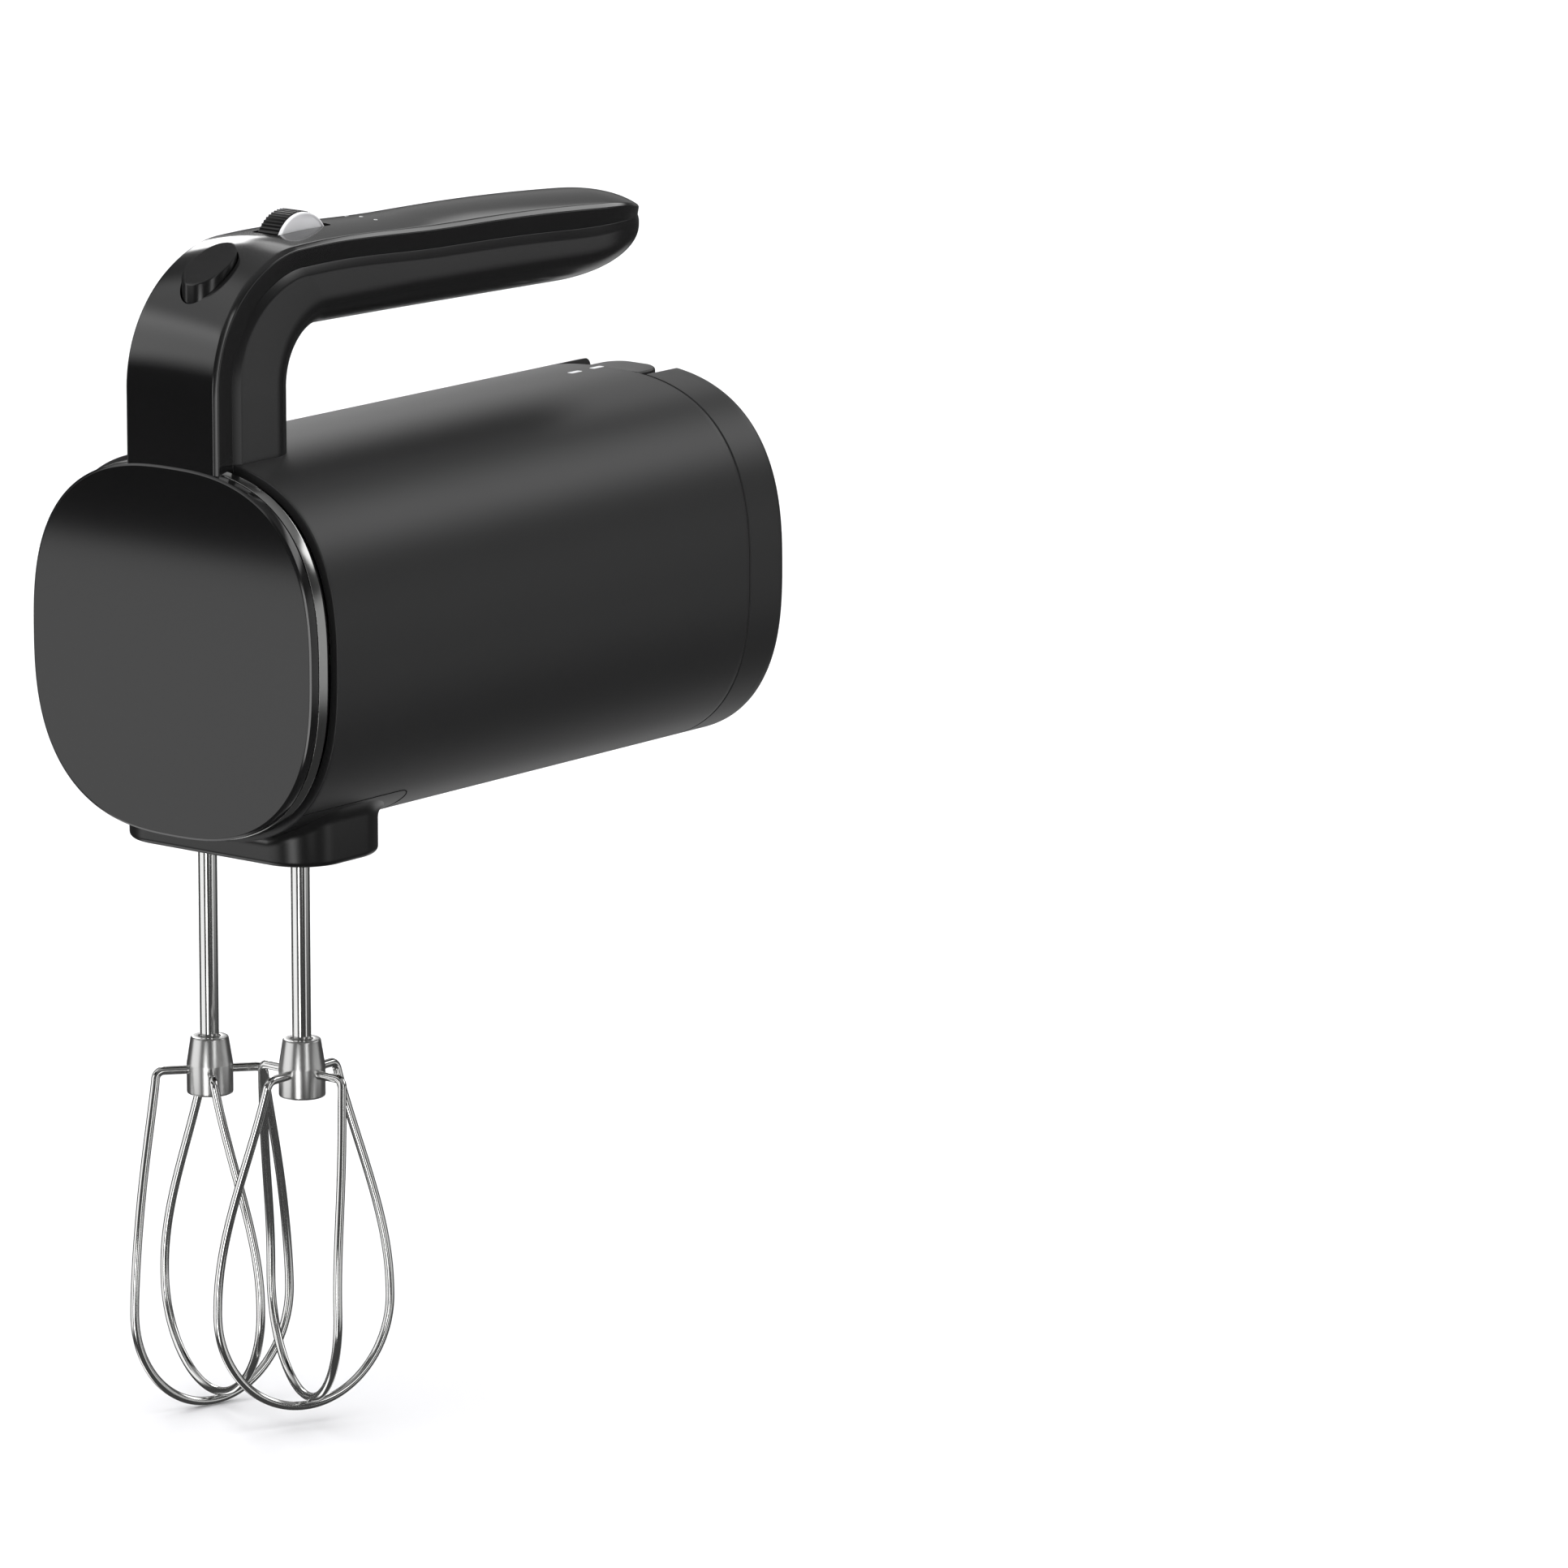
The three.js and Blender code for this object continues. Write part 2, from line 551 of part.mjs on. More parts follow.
for (const { side, x, turn } of beaterPlaces()) {
  const arms = beater.armLevel + (turn < 0 ? beater.lift : 0);
  const at = [x, beater.y, arms];
  const facing = turn > 0 ? 49.7 : 93.3;
  const shaftTop = beater.top - arms;
  add(`beater_shaft_${side}`, turned([[0, hub.above + gap], [beater.shaftRadius, hub.above + gap],
    [beater.shaftRadius, shaftTop - 8], [2, shaftTop - 7], [2, shaftTop - 4],
    [beater.shaftRadius, shaftTop - 3], [beater.shaftRadius - 0.9, shaftTop], [0, shaftTop]],
  'z', at, 16), steel());
  add(`beater_hub_${side}`, turned([[0, -hub.below], [hub.radius, -hub.below],
    [hub.radius, 1.6], [hub.top, hub.above], [0, hub.above]], 'z', at, 24), steel());
  ['a', 'b'].forEach((letter, i) => {
    const towards = THREE.MathUtils.degToRad(facing + i * wire.apart);
    const path = new Path((t) => wirePoint(t, towards, turn, wire.deepest - i * wire.crossing)
      .add(new THREE.Vector3(...at)));
    add(`beater_wire_${side}_${letter}`,
      tube(path, wire.radius, wire.sides, 2 * wire.halfSteps), steel());
  });
}

// ---- eject button -------------------------------------------------------------------
// The oval button is cut off by a sloping plane, low in front and high behind.
const slopeAngle = THREE.MathUtils.radToDeg(Math.atan(button.rise));
const aboveSlope = solid(new THREE.BoxGeometry(60, 60, 30).translate(0, 0, 15))
  .rotate([slopeAngle, 0, 0]).translate([0, button.y, button.z]);
add('eject_button', prismZ(ellipse(0), button.bottom, 115).translate([0, button.y, 0])
  .subtract(aboveSlope), satinBlack());
const yoke = { low: 24.2, high: 28.2, pinRadius: 2.6 };
add('eject_rod', rod(3.2, yoke.high + gap, button.bottom - gap, 'z',
  [0, button.y, 0], 16), nylon());

function yokeBody() {
  let body = rod(6, yoke.low, yoke.high, 'z', [0, button.y, 0], 20)
    .add(box([-20, beater.y - 6, yoke.low], [20, beater.y + 4, yoke.high]))
    .add(box([-5, button.y, yoke.low], [5, beater.y, yoke.high]));
  for (const { x } of beaterPlaces()) {
    body = body.add(rod(yoke.pinRadius, beater.top + 0.4, yoke.low + 1, 'z',
      [x, beater.y, 0], 16));
  }
  return body;
}
add('eject_yoke', yokeBody(), nylon());

const guide = { low: 57, high: 59.5 };
add('rod_guide', box([-11.5, 6, guide.low], [11.5, 24.4, guide.high])
  .subtract(rod(3.7, 50, 70, 'z', [0, button.y, 0], 16)), nylon());

function spring(radius, wireRadius, turns, low, high, centre) {
  const stepsPerTurn = 11;
  const place = (t) => {
    const angle = 2 * Math.PI * turns * t;
    return new THREE.Vector3(centre[0] + radius * Math.cos(angle),
      centre[1] + radius * Math.sin(angle),
      low + wireRadius + (high - low - 2 * wireRadius) * t);
  };
  return tube(new Path(place), wireRadius, 5, Math.round(turns * stepsPerTurn));
}
add('eject_spring', spring(5, 0.6, 5, guide.high + gap + 0.2,
  button.bottom - gap - 0.2, [0, button.y]), steel());

// ---- speed dial, lamps and boards -----------------------------------------------------
add('dial_wheel', pipe(1.4, dial.radius, -dial.width / 2, dial.width / 2 - 1.1, 'x',
  [0, dial.y, dial.z], 28), satinBlack());
add('dial_pointer_ring', pipe(7.8, dial.radius, dial.width / 2 - 1.1 + gap, dial.width / 2,
  'x', [0, dial.y, dial.z], 28), white());
add('dial_axle', rod(1.1, -9.2, 9.2, 'x', [0, dial.y, dial.z], 14), steel());
for (const [side, x] of [['left', -1], ['right', 1]]) {
  add(`dial_bracket_${side}`, box([x > 0 ? 5.2 : -8.6, dial.y - 5, 89.5],
    [x > 0 ? 8.6 : -5.2, dial.y + 5, dial.z + 0.3])
    .subtract(rod(1.4, -12, 12, 'x', [0, dial.y, dial.z], 14)), nylon());
}
add('control_board', box([-8.5, 42, 87.6], [8.5, 92, 89.2]), board());
for (const [i, name] of ['left', 'centre', 'right'].entries()) {
  const x = (i - 1) * lamps.pitch;
  const reach = crestHeight(lamps.y) - 2.8 * (x / grip.halfWidth) ** 2 - 0.1;
  add(`lamp_pipe_${name}`, rod(lamps.radius, 89.5, reach, 'z', [x, lamps.y, 0], 10),
    finish(0xe8e8e8, 0.2));
}
add('main_board', box([-22, 58, 25], [22, 104, 26.6]), board());
add('handle_lead', tube(new THREE.CatmullRomCurve3([
  new THREE.Vector3(0, 41, 86.4), new THREE.Vector3(0, 36, 84), new THREE.Vector3(0, 30, 76),
  new THREE.Vector3(0, 27, 66), new THREE.Vector3(0, 26.4, 56), new THREE.Vector3(0, 26.8, 46),
  new THREE.Vector3(0, 31, 37), new THREE.Vector3(0, 42, 32), new THREE.Vector3(0, 56, 30), new THREE.Vector3(0, 66, 28.6),
]), 1.3, 6, 24), darkRubber());

// ---- battery pack -------------------------------------------------------------------
const release = {
  middle: 1.8, halfWidth: 8.9, front: pack.rear + 0.5, rear: 193, corner: 6, low: 45.6,
};
// The rear cap carries a tray for the cells; a notch in its top holds the release button.
const packOutline = (inset) => roundedRectangle(
  pack.halfWidth - inset, pack.halfHeight - inset, 8, 0, 0, 4);
const cellRow = [-1, 0, 1].map((i) => i * cell.pitch);
const capHollow = prismY(housingOutline(3), pack.rear + 2, housing.rear - 3)
  .subtract(box([-60, pack.rear, notch.pocket - 3], [60, housing.rear, 60]));
const packCase = prismY(packOutline(0), pack.front, pack.rear + 3)
  .subtract(prismY(packOutline(pack.wall), pack.front + pack.wall, pack.rear + 8))
  .add(prismY(housingOutline(0), pack.rear, housing.rear).subtract(capHollow)
    .subtract(prismY(packOutline(pack.wall), pack.rear - 5, pack.rear + 5)));
add('battery_case', packCase
  .subtract(box([notch.left, pack.rear - 1, notch.floor],
    [notch.right, housing.rear + 1, 60]))
  .subtract(box([release.middle - release.halfWidth - 0.5, pack.rear - 1, notch.pocket],
    [release.middle + release.halfWidth + 0.5, release.rear + 0.6, 60]))
  .subtract(box([-6, pack.front - 1, 12], [6, pack.front + 5, 17])), satinBlack());
['left', 'centre', 'right'].forEach((name, i) => {
  add(`battery_cell_${name}`, rod(cell.radius, cell.front, cell.front + cell.length, 'y',
    [cellRow[i], 0, 0], 22), cellWrap());
});
add('battery_contacts', box([-5, pack.front + 0.6, 12.6], [5, pack.front + 3, 16.4]),
  finish(0xd8b25a, 0.3, 1));
add('housing_contacts', box([-5, 112.4, 12.6], [5, pack.front - 0.6, 16.4]),
  finish(0xd8b25a, 0.3, 1));

function releaseBody() {
  const { middle, halfWidth, front, rear, corner } = release;
  const outline = new THREE.Shape();
  outline.moveTo(middle - halfWidth, front);
  outline.lineTo(middle + halfWidth, front);
  outline.lineTo(middle + halfWidth, rear - corner);
  outline.absarc(middle + halfWidth - corner, rear - corner, corner, 0, Math.PI / 2);
  outline.absarc(middle - halfWidth + corner, rear - corner, corner, Math.PI / 2, Math.PI);
  outline.closePath();
  return prismZ(outline, release.low, 60)
    .intersect(prismY(housingOutline(0.8), front - 2, housing.rear));
}
add('release_button', releaseBody(), satinBlack());
add('release_spring', spring(3, 0.35, 2, notch.pocket + 0.2, release.low - 0.2,
  [release.middle, 187]), steel());

// ---- place the origin under the middle of the whole mixer ------------------------------
const bounds = new THREE.Box3().setFromObject(group);
const middle = bounds.getCenter(new THREE.Vector3());
group.position.set(-middle.x, -middle.y, -bounds.min.z);

export default group;
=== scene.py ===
"""Looks of a cordless hand mixer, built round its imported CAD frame.

Sizes are millimetres in a design frame: the front plate is at y = 0, the barrel's axis at
z = 0 and the middle plane at x = 0. place() carries points to the shared frame in metres.
"""

import bmesh
import bpy
import numpy as np
from mathutils import Matrix, Vector


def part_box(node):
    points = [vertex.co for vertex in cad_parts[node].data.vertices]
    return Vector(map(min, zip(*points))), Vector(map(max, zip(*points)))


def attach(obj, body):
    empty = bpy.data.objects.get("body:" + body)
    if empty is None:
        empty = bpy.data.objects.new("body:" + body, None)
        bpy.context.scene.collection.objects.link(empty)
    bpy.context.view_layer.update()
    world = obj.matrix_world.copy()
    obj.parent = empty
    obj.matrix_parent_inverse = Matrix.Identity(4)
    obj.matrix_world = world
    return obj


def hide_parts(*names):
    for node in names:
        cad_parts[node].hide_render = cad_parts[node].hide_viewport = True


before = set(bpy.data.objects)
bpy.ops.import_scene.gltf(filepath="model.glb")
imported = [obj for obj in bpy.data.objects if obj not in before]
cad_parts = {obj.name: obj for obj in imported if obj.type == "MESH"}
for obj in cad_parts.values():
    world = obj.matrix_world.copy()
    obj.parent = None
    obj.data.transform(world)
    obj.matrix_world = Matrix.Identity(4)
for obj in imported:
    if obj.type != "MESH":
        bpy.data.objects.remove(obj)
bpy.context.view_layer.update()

# ---- sizes --------------------------------------------------------------------------
BARREL = dict(half_width=51.0, half_height=51.8, power=2.6, front=8.8, rear=180.8, wall=2.5)
COVER = dict(half_width=50.0, half_height=50.6)
CAP = dict(front=181.1, rear=196.5, edge=2.2)
NOTCH = dict(left=-18.6, right=13.6, floor=46.6)
RELEASE = dict(middle=1.8, half_width=8.9, front=181.6, rear=193.0, corner=6.0, low=45.6)
TRAY = dict(half_width=34.0, half_height=21.0, corner=8.0, front=116.0, wall=2.0)
COLUMN = dict(half_width=16.2, front=0.5, rear=35.9, top=70.0, foot=44.0)
BEND = dict(outer=35.4, inner=14.5)
GRIP = dict(half_width=14.2, crest=106.4, crest_at=94.0, under_front=81.8, under_rear=79.6)
CROWN = dict(column=0.2, bend=0.8, grip=2.8, full_at=110.0)
SHOULDER = dict(rise=1.8, climb_from=14.0, climb_to=38.0, fade_from=44.0, fade_to=94.0)
TAIL = dict(start=151.0, top_start=166.0, end=187.8, level=95.6, fall=0.00056,
            top_power=2.2, under_power=2.15, narrow_from=161.0, narrow_power=2.6)
SEAM = dict(depth=7.8, chamfer=1.2, land=1.0, lower=10.7, inset=1.0, full_depth=25.0)
SHELL_WALL = 2.2
BUTTON = dict(y=17.1, z=102.2, half_width=6.6, half_length=8.2, rise=0.568, bottom=80.0)
DIAL = dict(y=50.0, z=101.6, radius=10.5, width=8.4, ribs=56, ripple=0.3)
RING = dict(inner=8.7, outer=10.3, depth=1.25, inner_shift=(0.0, 1.0, 0.7))
LAMPS = dict(y=78.3, pitch=5.1, radius=0.62)
COLLAR = dict(half_width=35.5, half_length=18.8, corner=14.0, bottom=-57.3, y=32.3,
              fillet=3.0, edge=1.6, bore=8.7)
BEATER = dict(offset=16.55, y=32.3, shaft=2.55, top=6.0, lift=4.2, arms=-121.9)
WIRE = dict(radius=1.2, arm=14.9, corner=2.4, deepest=92.7, crossing=3.0, apart=85.5,
            twist=27.0, twist_depth=60.0, left=49.7, right=93.3)
CAGE = dict(widest=25.6, widest_at=0.69, ease=0.44)
HUB = dict(top=5.1, radius=6.3, above=9.2, below=6.6)
INSERT = dict(half_width=38.3, front=9.0, rear=54.0, corner=6.0, line=0.17)
DASH = dict(x=-1.2, y=(168.8, 178.2), half_length=2.3, half_width=0.95)
FLAG = dict(x=-140.0, y=-175.0, low=-40.0, high=150.0, half_width=130.0, slant=-0.04)
FLOOR_HALF = 15.0
SHARP_ANGLE = 32.0

cover_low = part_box("front_cover")[0]
sleeve_low, sleeve_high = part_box("barrel_sleeve")
ORIGIN = np.array([0.0, 1000 * cover_low.y, 500 * (sleeve_low.z + sleeve_high.z)])


def place(points):
    """Design millimetres to metres in the shared frame."""
    return (np.asarray(points, float) + ORIGIN) / 1000


# ---- camera ---------------------------------------------------------------------------
AZIMUTH, ELEVATION = np.radians(38.789), np.radians(12.197)
back = np.array([np.sin(AZIMUTH) * np.cos(ELEVATION), -np.cos(AZIMUTH) * np.cos(ELEVATION),
                 np.sin(ELEVATION)])
right = np.array([np.cos(AZIMUTH), np.sin(AZIMUTH), 0.0])
up = np.cross(back, right)

camera = bpy.data.objects.new("camera", bpy.data.cameras.new("camera"))
bpy.context.scene.collection.objects.link(camera)
LENS, SENSOR = 255.73, 36.0
CAMERA_RIGHT, CAMERA_UP, CAMERA_BACK = 162.380, -34.816, 2947.854
camera.data.lens, camera.data.sensor_width = LENS, SENSOR
camera.data.clip_end = 100.0
turn = Matrix((right, up, back)).transposed().to_4x4()
camera.matrix_world = Matrix.Translation(
    place(CAMERA_RIGHT * right + CAMERA_UP * up + CAMERA_BACK * back)) @ turn
bpy.context.scene.camera = camera
bpy.context.scene.view_settings.view_transform = "Standard"


# ---- meshes from grids ----------------------------------------------------------------
def mesh_object(name, points, faces):
    """A new object at the origin, from points in metres and lists of their indices."""
    mesh = bpy.data.meshes.new(name)
    mesh.from_pydata(points.tolist(), [], faces)
    piece = bpy.data.objects.new(name, mesh)
    bpy.context.scene.collection.objects.link(piece)
    return piece


def tidy(piece):
    """Closes poles and seams, turns the faces outwards and marks the sharp edges."""
    work = bmesh.new()
    work.from_mesh(piece.data)
    bmesh.ops.remove_doubles(work, verts=work.verts, dist=2e-6)
    bmesh.ops.dissolve_degenerate(work, edges=work.edges, dist=1e-6)
    bmesh.ops.recalc_face_normals(work, faces=work.faces)
    work.to_mesh(piece.data)
    work.free()
    piece.data.shade_smooth()
    piece.data.set_sharp_from_angle(angle=np.radians(SHARP_ANGLE))
    return piece


def grid_faces(rows, columns, closed):
    """Quads between neighbouring rows, and round to the first column if closed."""
    row, column = np.meshgrid(np.arange(rows - 1), np.arange(columns - (not closed)),
                              indexing="ij")
    here = row * columns + column
    there = row * columns + (column + 1) % columns
    return np.stack([here, there, there + columns, here + columns], -1).reshape(-1, 4)


def surface(name, grid, closed=True, caps=True):
    """A skin through a grid of design points; a closed one may have its end rows filled."""
    rows, columns = grid.shape[:2]
    faces = grid_faces(rows, columns, closed).tolist()
    if closed and caps:
        faces.append(list(range(columns))[::-1])
        faces.append(list(range((rows - 1) * columns, rows * columns)))
    return tidy(mesh_object(name, place(grid.reshape(-1, 3)), faces))


def apply_modifiers(piece):
    """Puts the mesh that the modifiers make in the place of the piece's own."""
    graph = bpy.context.evaluated_depsgraph_get()
    made = bpy.data.meshes.new_from_object(piece.evaluated_get(graph))
    piece.modifiers.clear()
    piece.data = made
    return tidy(piece)


def thicken(piece, wall):
    """Gives an open skin a wall on its inner side."""
    shell = piece.modifiers.new("wall", "SOLIDIFY")
    shell.thickness, shell.offset = wall / 1000, -1
    return apply_modifiers(piece)


def cut(piece, *cutters):
    """Takes closed cutters out of a closed piece, then removes them."""
    for cutter in cutters:
        hole = piece.modifiers.new("hole", "BOOLEAN")
        hole.operation, hole.solver, hole.object = "DIFFERENCE", "EXACT", cutter
    apply_modifiers(piece)
    for cutter in cutters:
        bpy.data.objects.remove(cutter)
    return piece


# ---- outlines and profiles --------------------------------------------------------------
ROUND = np.linspace(0, 2 * np.pi, 256, endpoint=False)


def smoothstep(value, start, end):
    """Nothing before start, one after end, and 3 t squared - 2 t cubed in between."""
    t = np.clip((value - start) / (end - start), 0, 1)
    return t * t * (3 - 2 * t)


def superellipse(half_width, half_height, power, angle=ROUND):
    """Points where |x/a| to the power plus |z/b| to the power is one, at given angles."""
    c, s = np.cos(angle), np.sin(angle)
    reach = (np.abs(c) ** power + np.abs(s) ** power) ** (-1 / power)
    return np.stack([half_width * reach * c, half_height * reach * s], -1)


def barrel_outline(inset, angle=ROUND):
    """The barrel's superellipse in x and z, drawn in by an inset."""
    return superellipse(BARREL["half_width"] - inset, BARREL["half_height"] - inset,
                        BARREL["power"], angle)


def barrel_height(x, inset=0.0):
    """Height of the barrel's skin over its axis, above a given x."""
    share = np.clip(np.abs(x) / (BARREL["half_width"] - inset), 0, 1)
    return ((BARREL["half_height"] - inset)
            * (1 - share ** BARREL["power"]) ** (1 / BARREL["power"]))


def rounded_rectangle(half_width, half_length, corner, middle=(0.0, 0.0), steps=12):
    """Four quarter circles joined by straight sides, anticlockwise."""
    angle = np.linspace(0, np.pi / 2, steps)
    quarter = np.repeat(np.arange(4), steps)
    angle = np.tile(angle, 4) + quarter * np.pi / 2
    side_x = np.where((quarter == 0) | (quarter == 3), 1, -1) * (half_width - corner)
    side_y = np.where(quarter < 2, 1, -1) * (half_length - corner)
    return np.stack([middle[0] + side_x + corner * np.cos(angle),
                     middle[1] + side_y + corner * np.sin(angle)], -1)


def eased(corners, radius, steps=5):
    """A run of straight lines whose inner corners are rounded by short parabolas."""
    corners = np.asarray(corners, float)
    radius = np.broadcast_to(radius, len(corners) - 2)
    before, at, after = corners[:-2], corners[1:-1], corners[2:]
    in_length = np.linalg.norm(before - at, axis=1)
    out_length = np.linalg.norm(after - at, axis=1)
    start = at + (before - at) * np.minimum(radius / in_length, 0.49)[:, None]
    end = at + (after - at) * np.minimum(radius / out_length, 0.49)[:, None]
    t = np.linspace(0, 1, steps)[None, :, None]
    curves = ((1 - t) ** 2 * start[:, None] + 2 * t * (1 - t) * at[:, None]
              + t ** 2 * end[:, None])
    return np.concatenate([corners[:1], curves.reshape(-1, corners.shape[1]), corners[-1:]])


def round_stack(outline_at, profile):
    """Rows of an outline along Y; the profile gives each row's inset and y."""
    flat = np.stack([outline_at(inset) for inset, _ in profile])
    y = np.broadcast_to(np.array([y for _, y in profile])[:, None], flat.shape[:2])
    return np.stack([flat[..., 0], y, flat[..., 1]], -1)


def turned(profile, axis, middle, count=64):
    """A profile of [radius, height] carried round an axis through a design point."""
    profile = np.asarray(profile, float)
    angle = np.linspace(0, 2 * np.pi, count, endpoint=False)
    radius, height = profile[:, :1], np.broadcast_to(profile[:, 1:], (len(profile), count))
    first, second = radius * np.cos(angle), radius * np.sin(angle)
    order = {"z": (first, second, height), "x": (height, first, second),
             "y": (second, height, first)}[axis]
    return np.stack(order, -1) + np.asarray(middle, float)


def round_bar(path, radius, sideways, sides=16):
    """Circles square to a path; sideways is a direction kept to one side of the bar."""
    along = np.gradient(path, axis=0)
    along /= np.linalg.norm(along, axis=1, keepdims=True)
    first = sideways - (sideways * along).sum(1, keepdims=True) * along
    first /= np.linalg.norm(first, axis=1, keepdims=True)
    second = np.cross(along, first)
    angle = np.linspace(0, 2 * np.pi, sides, endpoint=False)[None, :, None]
    ring = np.cos(angle) * first[:, None] + np.sin(angle) * second[:, None]
    return path[:, None] + radius * ring


# ---- shader groups ----------------------------------------------------------------------
def node_group(name, inputs, outputs):
    """A shader group with its sockets, and the nodes at its two ends."""
    group = bpy.data.node_groups.new(name, "ShaderNodeTree")
    for label, kind, value in inputs:
        socket = group.interface.new_socket(label, in_out="INPUT", socket_type=kind)
        socket.default_value = value
    for label, kind in outputs:
        group.interface.new_socket(label, in_out="OUTPUT", socket_type=kind)
    return group, group.nodes.new("NodeGroupInput"), group.nodes.new("NodeGroupOutput")


def add_node(tree, kind, **settings):
    """A node with its properties set; in_X sets or links the input named or numbered X."""
    node = tree.nodes.new(kind)
    links = {}
    for key, value in settings.items():
        if key.startswith("in_"):
            links[key[3:].replace("_", " ")] = value
        else:
            setattr(node, key, value)
    for label, value in links.items():
        socket = node.inputs[int(label)] if label.isdigit() else node.inputs[label]
        if isinstance(value, bpy.types.NodeSocket):
            tree.links.new(value, socket)
        else:
            socket.default_value = value
    return node


FLOAT, COLOUR, VECTOR = "NodeSocketFloat", "NodeSocketColor", "NodeSocketVector"


# ---- studio light -----------------------------------------------------------------------
def softbox_group():
    """A soft-edged rectangle of light in the sky, from the sines of its two half angles."""
    group, given, result = node_group("softbox", [
        ("Forward", VECTOR, (0, 0, 1)), ("Sideways", VECTOR, (1, 0, 0)),
        ("Upwards", VECTOR, (0, 1, 0)), ("Half width", FLOAT, 0.3),
        ("Half height", FLOAT, 0.3), ("Softness", FLOAT, 0.1), ("Strength", FLOAT, 1.0),
    ], [("Light", FLOAT)])
    where = add_node(group, "ShaderNodeTexCoord").outputs["Generated"]

    def along(axis):
        """The direction's share along one of the box's three axes."""
        return add_node(group, "ShaderNodeVectorMath", operation="DOT_PRODUCT", in_0=where,
                        in_1=given.outputs[axis]).outputs["Value"]

    def inside(axis, half):
        """One inside the half angle, nothing outside, smooth over the softness."""
        away = add_node(group, "ShaderNodeMath", operation="ABSOLUTE", in_0=along(axis))
        over = add_node(group, "ShaderNodeMath", operation="SUBTRACT", in_0=away.outputs[0],
                        in_1=given.outputs[half]).outputs[0]
        share = add_node(group, "ShaderNodeMath", operation="DIVIDE", in_0=over,
                         in_1=given.outputs["Softness"]).outputs[0]
        return add_node(group, "ShaderNodeMapRange", interpolation_type="SMOOTHSTEP",
                        in_Value=share, in_1=-0.5, in_2=0.5, in_3=1.0, in_4=0.0).outputs[0]

    ahead = add_node(group, "ShaderNodeMath", operation="GREATER_THAN",
                     in_0=along("Forward"), in_1=0.0).outputs[0]
    light = given.outputs["Strength"]
    for factor in (ahead, inside("Sideways", "Half width"), inside("Upwards", "Half height")):
        light = add_node(group, "ShaderNodeMath", operation="MULTIPLY", in_0=light,
                         in_1=factor).outputs[0]
    group.links.new(light, result.inputs["Light"])
    return group


# towards x, y, z; half width, half height, softness and roll in degrees; strength
SOFTBOXES = [
    ((-0.61, -0.76, 0.09), 27, 30, 8, 0, 1.25),
    ((-0.56, -0.42, 0.71), 26, 16, 12, 0, 0.55),
    ((0.808, 0.587, -0.06), 20, 12, 9, 0, 0.58),
    ((0.35, 0.76, 0.53), 24, 7, 7, 0, 2.5),
    ((-0.35, 0.76, -0.55), 26, 9, 12, 0, 0.75),
    ((-0.700, 0.587, 0.407), 4, 9, 4, 27, 7.0),
    ((-0.423, 0.677, 0.602), 13, 7, 7, 0, 1.2),
    ((-0.55, 0.77, 0.33), 26, 16, 14, 0, 0.20),
    ((0.35, -0.90, -0.20), 7, 18, 5, 0, 4.5),
    ((0.919, -0.334, 0.208), 5, 27, 5, 20, 2.4),
    ((0.957, 0.19, -0.21), 6, 12, 5, 0, 1.1),
    ((-0.60, -0.20, -0.77), 16, 12, 8, 0, 1.6),
    ((0.0, 0.0, 1.0), 40, 40, 25, 0, 0.30),
]


BASE_LIGHT, BACKDROP = 0.07, 0.93
DIFFUSER = dict(strength=2.9, spread=110.0)


def light_studio():
    """A dim sky with softboxes for reflections, plain and pale where the camera sees it."""
    world = bpy.data.worlds.new("studio")
    bpy.context.scene.world = world
    world.use_nodes = True
    tree = world.node_tree
    group = softbox_group()
    total = None
    for towards, half_width, half_height, softness, roll, strength in SOFTBOXES:
        forward = Vector(towards).normalized()
        sideways = (forward.cross(Vector((0, 0, 1))) if abs(forward.z) < 0.99
                    else Vector((1, 0, 0))).normalized()
        sideways = Matrix.Rotation(np.radians(-roll), 3, forward) @ sideways
        box = tree.nodes.new("ShaderNodeGroup")
        box.node_tree = group
        values = dict(zip(("Forward", "Sideways", "Upwards", "Half width", "Half height",
                           "Softness", "Strength"),
                          (forward, sideways, sideways.cross(forward),
                           np.sin(np.radians(half_width)), np.sin(np.radians(half_height)),
                           np.sin(np.radians(softness)), strength)))
        for label, value in values.items():
            box.inputs[label].default_value = value
        light = box.outputs["Light"]
        total = light if total is None else add_node(
            tree, "ShaderNodeMath", operation="ADD", in_0=total, in_1=light).outputs[0]
    total = add_node(tree, "ShaderNodeMath", operation="ADD", in_0=total,
                     in_1=BASE_LIGHT).outputs[0]
    seen = add_node(tree, "ShaderNodeLightPath").outputs["Is Camera Ray"]
    shown = add_node(tree, "ShaderNodeMix", in_Factor=seen, in_A=total, in_B=BACKDROP)
    tree.links.new(shown.outputs["Result"], tree.nodes["Background"].inputs["Strength"])
    tree.nodes["Background"].inputs["Color"].default_value = (1, 1, 1, 1)
    sun = bpy.data.lights.new("overhead_diffuser", "SUN")
    sun.energy, sun.angle = DIFFUSER["strength"], np.radians(DIFFUSER["spread"])
    lamp = bpy.data.objects.new("overhead_diffuser", sun)
    bpy.context.scene.collection.objects.link(lamp)
    lamp.visible_glossy = False


light_studio()


